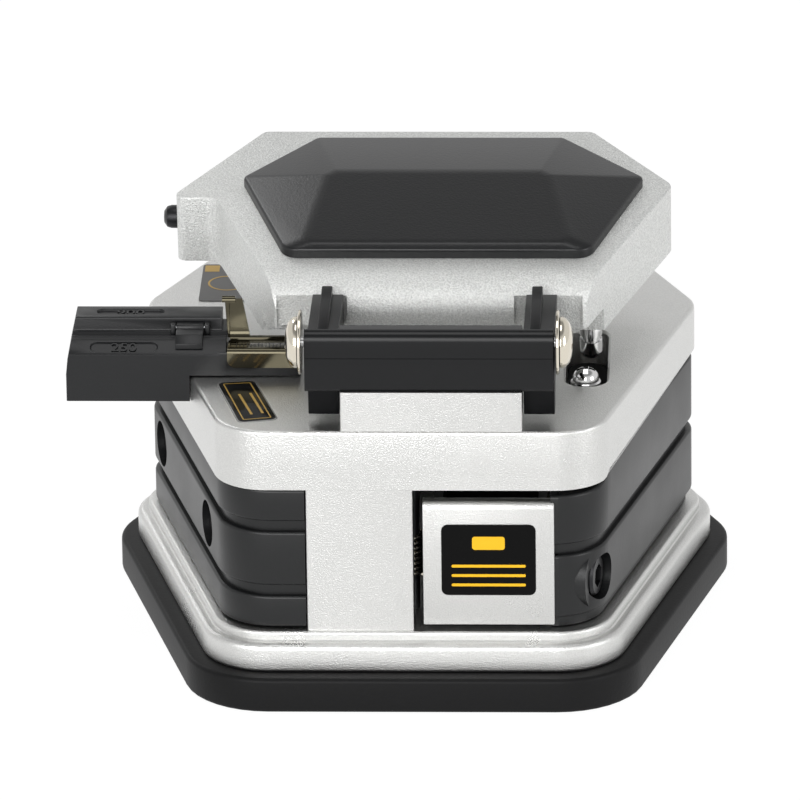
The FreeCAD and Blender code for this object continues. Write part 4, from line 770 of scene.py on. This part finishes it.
def build_arm(name, node, rib_from):
    """A hinge arm: knuckle on the pin, lobe below, sloping web and the rib that tops it."""
    left, right = span(node, 0)
    y0, z0 = AXIS.y, AXIS.z
    near = LID_NEAR + 0.74
    floor_z = LID_STEP + 0.1
    profile = arc(y0, z0, 1.0, 75, 180, 7)
    profile += [(y0 - 0.8, z0 - 2.0), (y0 - 0.8, LID_LOW + 0.6), (y0 - 0.62, LID_LOW + 0.18),
                (y0 - 0.2, LID_LOW), (y0 + 1.7, LID_LOW), (y0 + 2.2, LID_LOW + 0.3),
                (y0 + 3.9, floor_z), (near, floor_z), (near, LID_TOP - 1.5),
                (near - 0.15, LID_TOP - 1.35)]
    arm = along_x(profile, left, right, 0.12, 2)
    rib = [(y0 + 0.6, z0), (near, LID_TOP - 2.7), (near, LID_TOP - 0.6),
           (near - 0.15, LID_TOP - 0.25), (near - 0.5, LID_TOP - 0.1), (y0 + 0.6, z0 + 1.0)]
    rib_left = left + rib_from
    arm = join(arm, along_x(rib, rib_left, rib_left + 1.2, 0.12, 2))
    arm = carve(arm, turned([(0.66, left - 1), (0.66, right + 1)], (0, y0, z0), (1, 0, 0)))
    # The arm takes the black acetal with the painted shade.
    finish_piece(name, arm, ARM_PLASTIC_PAINTED_SHADE, "lid", [node], shut=True)


def build_stud():
    """The stud under the lid that comes down on the stop screw."""
    centre = (20.0, -6.2, LID_LOW)
    stud = turned([(0.01, -4.2), (0.7, -4.15), (1.0, -3.9), (1.1, -3.6), (1.3, -3.4), (1.3, -1.9),
                   (1.05, -1.75), (1.05, -1.4), (1.3, -1.25), (1.3, 1.5)], centre, (0, 0, 1))
    finish_piece("stop_stud", stud, CHROME, "lid", ["lock_stud"], shut=True)


# ---------------- holder and keeper
GROOVE_Y = -7.95
LEDGE_Y = -6.75
CHAMFER = 1.7
TRAY_X = -32.7


def raised_number(text, middle, tall, tilt, thick=0.16):
    """Plain figures standing out of a face that leans towards the hinge side by tilt."""
    curve = bpy.data.curves.new("figures", "FONT")
    curve.body, curve.size, curve.extrude = text, tall, thick / 2
    curve.align_x, curve.align_y = "CENTER", "CENTER"
    curve.resolution_u = 3
    holder = put("figures", curve)
    figures = bmesh.new()
    figures.from_mesh(holder.evaluated_get(bpy.context.evaluated_depsgraph_get()).to_mesh())
    bpy.data.objects.remove(holder)
    return moved(figures, Matrix.Translation(middle) @ Matrix.Rotation(tilt, 4, "X")
                 @ Matrix.Diagonal((1.25, 1.0, 1.0, 1.0)))


def holder_section(front, back, shoulder, top, ledge):
    """(y, z) section of the holder: chamfer, groove for the fibre, and the ledge behind it."""
    low = DECK_TOP + 0.1
    ridge_near = [(GROOVE_Y - away, top + up)
                  for away, up in ((0.95, 0), (0.82, 0.1), (0.62, 0.1), (0.5, -0.12))]
    ridge_far = [(GROOVE_Y + away, top + up)
                 for away, up in ((0.5, -0.12), (0.62, 0.1), (0.82, 0.1), (0.95, -0.05))]
    return ([(front, low), (front, shoulder), (front + CHAMFER, top)] + ridge_near
            + [(GROOVE_Y, top - 0.62)] + ridge_far
            + [(LEDGE_Y - 0.1, top - 0.05), (LEDGE_Y, top + 0.1), (LEDGE_Y, ledge - 0.15),
               (LEDGE_Y + 0.15, ledge), (back - 0.15, ledge), (back, ledge - 0.15), (back, low)])


def figure_tray(deep, place):
    """An oval tool that sinks the tray round a raised number."""
    oval = rectangle((TRAY_X, 0), (3.9, 0.85), 0.8)
    return moved(plate(oval, [(0.15, -deep), (0, 0.0), (-0.3, 0.8)], 6), place)


def build_holder():
    """The fibre holder with its figures, and the keeper over its groove."""
    (left, right), (front, back), _ = spans("fibre_holder")
    low = DECK_TOP + 0.1
    shoulder, top, ledge = DECK_TOP + 2.7, DECK_TOP + 3.9, DECK_TOP + 5.5
    corner = -21.5
    body = along_x(holder_section(front, back, shoulder, top, ledge), left, corner, 0.05, 1)
    body = carve(body, block((-22.2, -15), (LEDGE_Y - 0.05, back + 1), (top, ledge + 2)))
    edges = [-facet_x(y) - 0.1 for y in (front, back)]
    drop = [(left, front, 0.2), (edges[0], front, 0.05), (edges[1], back, 0.05), (left, back, 0.2)]
    body = join(body, plate(drop, [(0, DECK_TOP - 3.0), (0, shoulder - 0.6)], 3))
    body = join(body, block((corner - 1.0, right), (front, -7.75), (low, DECK_TOP + 2.9), 0.12, 2))
    mid = (LEDGE_Y + back) / 2
    chamfer_mid = Vector((-0.5, front + CHAMFER / 2, (shoulder + top) / 2))
    lean = math.atan2(top - shoulder, CHAMFER)
    body = carve(body, figure_tray(0.25, Matrix.Translation((0, mid, ledge))))
    leaning = (Matrix.Translation(chamfer_mid) @ Matrix.Rotation(lean, 4, "X")
               @ Matrix.Diagonal((1, 0.8, 1, 1)))
    body = carve(body, figure_tray(0.2, leaning))
    clip_left, clip_right = span("keeper_clip", 0)
    hinge_y, hinge_z = LEDGE_Y - 0.7, top + 0.6
    lugs = [block(x, (hinge_y - 0.5, LEDGE_Y + 0.4), (shoulder, hinge_z + 0.5), 0.12, 2)
            for x in ((clip_left - 0.7, clip_left - 0.1), (clip_right + 0.1, clip_right + 0.7))]
    body = join(body, *lugs)
    body = join(body, block((-28, corner + 0.5), (-8.7, -5.9), (DECK_TOP - 1.0, low + 0.3)))
    slant, slant_low = 0.22, shoulder - 1.5
    for vert in body.verts:
        if vert.co.x < left + 0.3 and vert.co.z > slant_low:
            vert.co.x += slant * (vert.co.z - slant_low)
    finish_piece("holder_block", body, HOLDER_PLASTIC, "holder", ["fibre_holder"])
    figures = merge(raised_number("900", Vector((TRAY_X, mid, ledge - 0.17)), 1.75, 0.0),
                    raised_number("250", chamfer_mid + Vector((TRAY_X, 0, -0.1)), 1.6, lean))
    finish_piece("holder_figures", figures, HOLDER_PLASTIC, "holder")

    low = top + 0.1
    clip = [(-10.9, 36.1), (-10.7, 36.05), (-9.75, low), (hinge_y - 0.55, low),
            (hinge_y - 0.3, low), (hinge_y + 0.45, low + 0.1), (hinge_y + 0.5, hinge_z + 0.35),
            (hinge_y + 0.4, hinge_z + 0.48), (hinge_y - 0.4, hinge_z + 0.48),
            (hinge_y - 0.55, hinge_z + 0.35), (hinge_y - 0.6, low + 0.6), (-9.75, low + 0.52),
            (-10.85, low - 0.2)]
    body = along_x(clip, clip_left, clip_right, 0.06, 2)
    finish_piece("keeper", body, HOLDER_PLASTIC, "keeper", ["keeper_clip"])


def sheet_strip(path, left, right, thick=0.3):
    """A bent strip of sheet: a (y, z) path given thickness and drawn out along X."""
    points = [Vector(p) for p in path]
    outer, inner = [], []
    for i, point in enumerate(points):
        before = points[max(i - 1, 0)]
        after = points[min(i + 1, len(points) - 1)]
        along = (after - before).normalized()
        across = Vector((-along.y, along.x)) * thick / 2
        outer.append(point + across)
        inner.append(point - across)
    loop = [(p.x, p.y) for p in outer] + [(p.x, p.y) for p in reversed(inner)]
    return along_x(loop, left, right)


def stood_up(bm, back):
    """A bmesh drawn in plan, stood up in XZ with its underside at a depth."""
    return moved(bm, Matrix.Translation((0, back, 0)) @ Matrix.Rotation(math.pi / 2, 4, "X"))


def upright_sheet(corners, front, back):
    """A flat sheet standing in XZ, its outline given as (x, z, radius) corners."""
    thick, edge = back - front, 0.04
    return stood_up(plate(corners, [(edge, 0), (0, edge), (0, thick - edge), (edge, thick)]), back)


def build_channel():
    """The bright bent sheet on the holder's nose: lip, trough, and a tall flange with a curl."""
    (left, right), (front, back), (low, high) = spans("holder_channel")
    corner = left + 0.6
    floor = low + 1.7
    flange = upright_sheet([(corner, low, 1.0), (right, low, 0.2), (right, floor + 0.1, 0.1),
                            (corner, floor + 0.1, 0.1)], front, front + 0.3)
    path = arc(front + 0.6, floor, 0.45, 180, 90, 5)
    path += [(-9.8, floor + 0.45), (-9.45, floor + 0.3), (-9.2, floor + 0.15), (-8.7, floor + 0.15),
             (-8.4, floor + 0.2)]
    lip = sheet_strip(path, corner + 0.05, right)
    cove = [(-9.2, floor + 0.15)] + arc(-8.9, floor + 1.45, 1.3, -90, 0, 8)
    cove += [(-7.6, floor + 2.4), (-7.56, floor + 3.4), (-7.56, high - 0.5)]
    tall = sheet_strip(cove, corner + 0.2, right - 0.1)
    passing = upright_sheet([(-18.9, floor + 0.7, 0.1), (right + 1, floor + 0.7, 0.1),
                             (right + 1, high + 1, 0.1), (-20.0, high + 1, 0.1)], -9.5, -6.5)
    tall = carve(tall, passing)
    curl = sheet_strip(arc(back - 0.55, high - 0.5, 0.38, -60, 200, 10), left, left + 1.5, 0.22)
    side = [(corner - 0.02, floor + 0.6), (corner + 0.22, floor + 0.6), (corner + 0.22, high - 0.5),
            (corner - 0.3, high - 0.5)]
    turned_edge = upright_sheet([(x, z, 0.05) for x, z in side], back - 0.85, back - 0.05)
    marks = []
    for k in range(14):
        x, long_mark = corner + 1.0 + 0.42 * k, 0.3 * (k % 3 == 0)
        marks.append(block((x, x + 0.12), (-11.0, -10.2 + long_mark), (floor + 0.6, floor + 0.63)))
    # The channel sheet takes the nickel with the painted dark reflection.
    finish_piece("channel_sheet", merge(flange, lip, tall, curl, turned_edge), NICKEL_PAINTED_DARK_REFLECTION,
                 "holder", ["holder_channel"])
    finish_piece("channel_marks", merge(*marks), BLACK_STEEL, "holder")


# ---------------- drawer
def build_drawer():
    """The drawer's face and the plate on it, which carries a plain block and three plain bars."""
    (left, right), _, (low, high) = spans("drawer_front")
    face = block((left, right), (FRONT, FRONT + 1.6), (low, high))
    soften(face, [edge for edge in face.edges if min(v.co.z for v in edge.verts) > high - 0.1
                  and max(v.co.y for v in edge.verts) < FRONT + 0.1], 0.9, 5)
    round_edges(face, 0.15, 2, 60)
    finish_piece("drawer_face", face, BLASTED, "drawer", ["drawer_front"])

    middle = (left + right) / 2
    up = 17.3
    sign = plate(rectangle((middle, up), (5.35, 4.3), 0.75), [(0, 0), (0, 0.12), (0.08, 0.2)])
    finish_piece("drawer_sign", stood_up(sign, FRONT), FOIL_BLACK, "drawer", ["drawer_label"])
    shapes = [rectangle((middle, up + 2.1), (1.85, 0.8), 0.3)]
    shapes += [rectangle((middle, up - 0.7 - 1.15 * k), (4.2, 0.17), 0.15) for k in range(3)]
    ink = merge(*[plate(shape, [(0, 0.1), (0, 0.215)], 3) for shape in shapes])
    finish_piece("drawer_marks", stood_up(ink, FRONT), AMBER_INK, "drawer")


# ---------------- deck labels
def strip_between(bm, outer, inner, z):
    """A flat printed line between two loops of plan points."""
    rows = [[bm.verts.new((p.x, p.y, z)) for p in loop] for loop in (outer, inner)]
    for i in range(len(outer)):
        j = (i + 1) % len(outer)
        bm.faces.new((rows[0][i], rows[0][j], rows[1][j], rows[1][i]))


def build_labels():
    """The plates on the deck: one with two plain bars in a frame, one with a ring and a block."""
    near = [(-19.4, -25.5, 0.8), (-15.0, -24.5, 0.8), (-18.2, -12.7, 0.8), (-22.55, -13.3, 0.8)]
    far = [(-25.95, 12.3, 0.5), (-18.5, 12.3, 0.5), (-18.5, 24.0, 0.5), (-25.95, 24.0, 0.5)]
    low = DECK_TOP - 0.02
    rim = plate(near, [(-0.1, low), (-0.06, DECK_TOP + 0.06), (0.05, DECK_TOP + 0.08)])
    finish_piece("deck_foil_edge", rim, FOIL_EDGE, "base")
    foil = plate(near, [(0.1, low), (0.1, DECK_TOP + 0.09), (0.14, DECK_TOP + 0.1)])
    finish_piece("deck_foil_near", foil, FOIL_BLACK, "base", ["deck_labels"])
    foil = plate(far, [(0, low), (0, DECK_TOP + 0.1)])
    finish_piece("deck_foil_far", foil, FOIL_GREY, "base")
    top = DECK_TOP + 0.115
    ink = bmesh.new()
    strip_between(ink, ring(near, 0.6), ring(near, 0.76), top)
    centre = Vector((-22.8, 17.9))
    turns = [2 * math.pi * k / 40 for k in range(40)]
    circles = [[centre + Vector((radius * math.cos(a), radius * math.sin(a))) for a in turns]
               for radius in (2.35, 2.1)]
    strip_between(ink, *circles, top)
    along = Vector((-0.27, 0.96))
    across = Vector((along.y, -along.x))
    wide, tall = across * 0.3, along * 6.4
    marks = []
    for start in (-0.8, 0.5):
        base = Vector((-17.35, -23.2)) + across * start + along * 0.3
        marks.append([base, base + wide, base + wide + tall, base + tall])
    marks.append([(-25.7, 21.6), (-24.0, 21.6), (-24.0, 23.6), (-25.7, 23.6)])
    for corners in marks:
        ink.faces.new([ink.verts.new((x, y, top)) for x, y in corners])
    bmesh.ops.recalc_face_normals(ink, faces=ink.faces)
    finish_piece("deck_foil_ink", ink, GOLD_INK, "base")


# ---------------- detent and pusher
def build_spring():
    """The detent's coil, wound as a helix round its pin."""
    x, y, low, high = -0.1, -21.0, 12.4, 18.2
    pitch, coil_radius, wire, steps = 0.62, 1.15, 0.24, 20
    total = int((high - low - 2 * wire) / pitch * steps)
    around = [2 * math.pi * i / 8 for i in range(8)]
    loops = []
    for k in range(total + 1):
        angle = 2 * math.pi * k / steps
        centre = Vector((x + coil_radius * math.cos(angle), y + coil_radius * math.sin(angle),
                         low + wire + pitch * k / steps))
        out = Vector((math.cos(angle), math.sin(angle), 0))
        loops.append([centre + out * wire * math.cos(a) + Vector((0, 0, wire * math.sin(a)))
                      for a in around])
    finish_piece("detent_coil", skin(bmesh.new(), loops), NICKEL, "base", ["detent_spring"])


def build_pusher():
    """The pusher at the back, with three grip grooves across its top."""
    (left, right), (_, back), (_, high) = spans("pusher_knob")
    knob = block(*spans("pusher_knob"), 0.7, 4)
    for k in range(1, 4):
        knob = carve(knob, block((left - 1, right + 1), (back - 1.3 - k, back - 0.8 - k),
                                 (high - 0.4, high + 1)))
    finish_piece("pusher", knob, COVER_PLASTIC, "carriage", ["pusher_knob"])


NODE_FINISH = (
    (STEEL, "base_screws slide_rail hinge_pin detent_pin blade_axle keeper_pin"),
    (BRASS, "deck_posts"), (NICKEL, "deck_magnet lid_magnet"), (CARBIDE, "blade_wheel"),
    (BAR_PLASTIC, "left_clamp_block right_clamp_block blade_carriage"),
    (SOFT_RUBBER, "left_lower_rubber right_lower_rubber left_upper_rubber right_upper_rubber"),
    (BLACK_STEEL, "anvil"), (BLASTED, "blade_hub"), (COVER_PLASTIC, "drawer_bin"),
)

build_base()
build_covers()
finish_piece("flank_screws", merge(*[cap_screw(spot) for spot in screw_spots()]), BLACK_STEEL,
             "base", ["side_screws"])
build_deck()
build_deck_fittings()
build_hinge()
build_lid()
build_arm("arm_left", "left_lid_arm", 1.1)
build_arm("arm_right", "right_lid_arm", 0.7)
build_stud()
build_holder()
build_channel()
build_drawer()
build_labels()
build_spring()
build_pusher()
for finish, node_names in NODE_FINISH:
    for node_name in node_names.split():
        for slot in frame["nodes"][node_name].material_slots:
            slot.material = finish


# ---------------- stage, light and camera
WORLD_DIM = 0.3
LOW_SKY = 0.8
HIGH_SKY = 0.3
KEY_WATTS = 8.0
FILL_WATTS = 2.5
TOP_WATTS = 1.5
BACK_WATTS = 1.2
FLOOR_WHITE = 0.88
WHITE_GLOW = 1.07


def seen_white(tree, shader, white):
    """Mix a shader with plain white light that only camera, glossy and clear rays meet."""
    path = add(tree, "LightPath")
    direct = larger(tree, path.outputs["Is Camera Ray"], path.outputs["Is Glossy Ray"])
    clear = larger(tree, direct, path.outputs["Is Transmission Ray"])
    share = add(tree, "Math", {"operation": "MULTIPLY"})
    tree.links.new(clear, share.inputs[0])
    share.inputs[1].default_value = white
    return blend(tree, share.outputs[0], shader, add(tree, "Emission", {"Strength": WHITE_GLOW}))


def build_floor():
    """A white floor that runs out of sight and keeps the object's shadow."""
    mesh = bpy.data.meshes.new("floor")
    reach = 3.0
    mesh.from_pydata([(-reach, -reach, 0), (reach, -reach, 0), (reach, reach, 0),
                      (-reach, reach, 0)], [], [(0, 1, 2, 3)])
    material = bpy.data.materials.new("white_sweep")
    tree = bare_tree(material)
    paint = add(tree, "BsdfDiffuse", {"Color": (1, 1, 1, 1)})
    out = add(tree, "OutputMaterial")
    tree.links.new(seen_white(tree, paint, FLOOR_WHITE).outputs[0], out.inputs["Surface"])
    mesh.materials.append(material)
    put("floor", mesh)


def lamp(name, place, aim, wide, tall, watts):
    """A soft rectangular light at a place, in metres, turned to a point."""
    light = bpy.data.lights.new(name, "AREA")
    light.shape = "RECTANGLE"
    light.size, light.size_y = wide, tall
    light.energy = watts
    facing = (Vector(aim) - Vector(place)).to_track_quat("-Z", "Y").to_matrix().to_4x4()
    put(name, light).matrix_world = Matrix.Translation(place) @ facing


def build_light():
    """Four soft lamps, and a dim white world that shines more in reflections near the horizon."""
    world = bpy.data.worlds.new("studio")
    tree = bare_tree(world)
    dim = add(tree, "Background", {"Color": (1, 1, 1, 1), "Strength": WORLD_DIM})
    white = add(tree, "Background", {"Color": (1, 1, 1, 1), "Strength": 1.0})
    place = add(tree, "TexCoord")
    split = add(tree, "SeparateXYZ", Vector=place.outputs["Generated"])
    fade = add(tree, "MapRange", {"From Min": 0.6, "From Max": 0.85, "To Min": LOW_SKY,
                                  "To Max": HIGH_SKY, "interpolation_type": "SMOOTHSTEP"},
               Value=split.outputs["Z"])
    ceiling = add(tree, "Background", {"Color": (1, 1, 1, 1)}, Strength=fade.outputs["Result"])
    path = add(tree, "LightPath")
    clear = larger(tree, path.outputs["Is Camera Ray"], path.outputs["Is Transmission Ray"])
    glossy = blend(tree, path.outputs["Is Glossy Ray"], dim, ceiling)
    seen = blend(tree, clear, glossy, white)
    out = add(tree, "OutputWorld")
    tree.links.new(seen.outputs[0], out.inputs["Surface"])
    bpy.context.scene.world = world
    lamp("key", (-0.3, -1.1, 0.42), (0, 0, 0.02), 0.9, 0.6, KEY_WATTS)
    lamp("fill", (0.9, -0.5, 0.3), (0, 0, 0.02), 0.5, 0.5, FILL_WATTS)
    lamp("top", (0.0, -0.05, 0.95), (0, 0, 0.03), 0.45, 0.45, TOP_WATTS)
    lamp("back", (-0.5, 0.75, 0.75), (0, 0, 0.03), 0.25, 0.35, BACK_WATTS)


def build_camera():
    """A long lens in front, a little to the left of square and tipped down onto the deck."""
    aim = Vector((0.0, 10.8, 32.9)) * MM
    distance = 1187.9 * MM
    image_side = 800
    focal = 10236.0 / image_side
    turn, tip, roll = math.radians(-2.14), math.radians(21.32), math.radians(-0.71)
    forward = Vector((math.sin(turn) * math.cos(tip), math.cos(turn) * math.cos(tip),
                      -math.sin(tip)))
    right = Vector((math.cos(turn), -math.sin(turn), 0))
    up = right.cross(forward)
    right, up = (right * math.cos(roll) + up * math.sin(roll),
                 up * math.cos(roll) - right * math.sin(roll))
    centre_right, centre_up = -0.0264, -0.1171
    look = (forward * focal + right * centre_right + up * centre_up).normalized()
    up = (up - look * up.dot(look)).normalized()
    right = look.cross(up)
    camera = bpy.data.cameras.new("camera")
    camera.sensor_width = 36.0
    camera.lens = focal * camera.sensor_width
    camera.clip_start, camera.clip_end = 0.05, 20.0
    holder = put("camera", camera)
    turned_frame = Matrix((right, up, -look)).transposed().to_4x4()
    holder.matrix_world = Matrix.Translation(aim - forward * distance) @ turned_frame
    bpy.context.scene.camera = holder


build_floor()
build_light()
build_camera()
bpy.context.scene.view_settings.view_transform = "Standard"
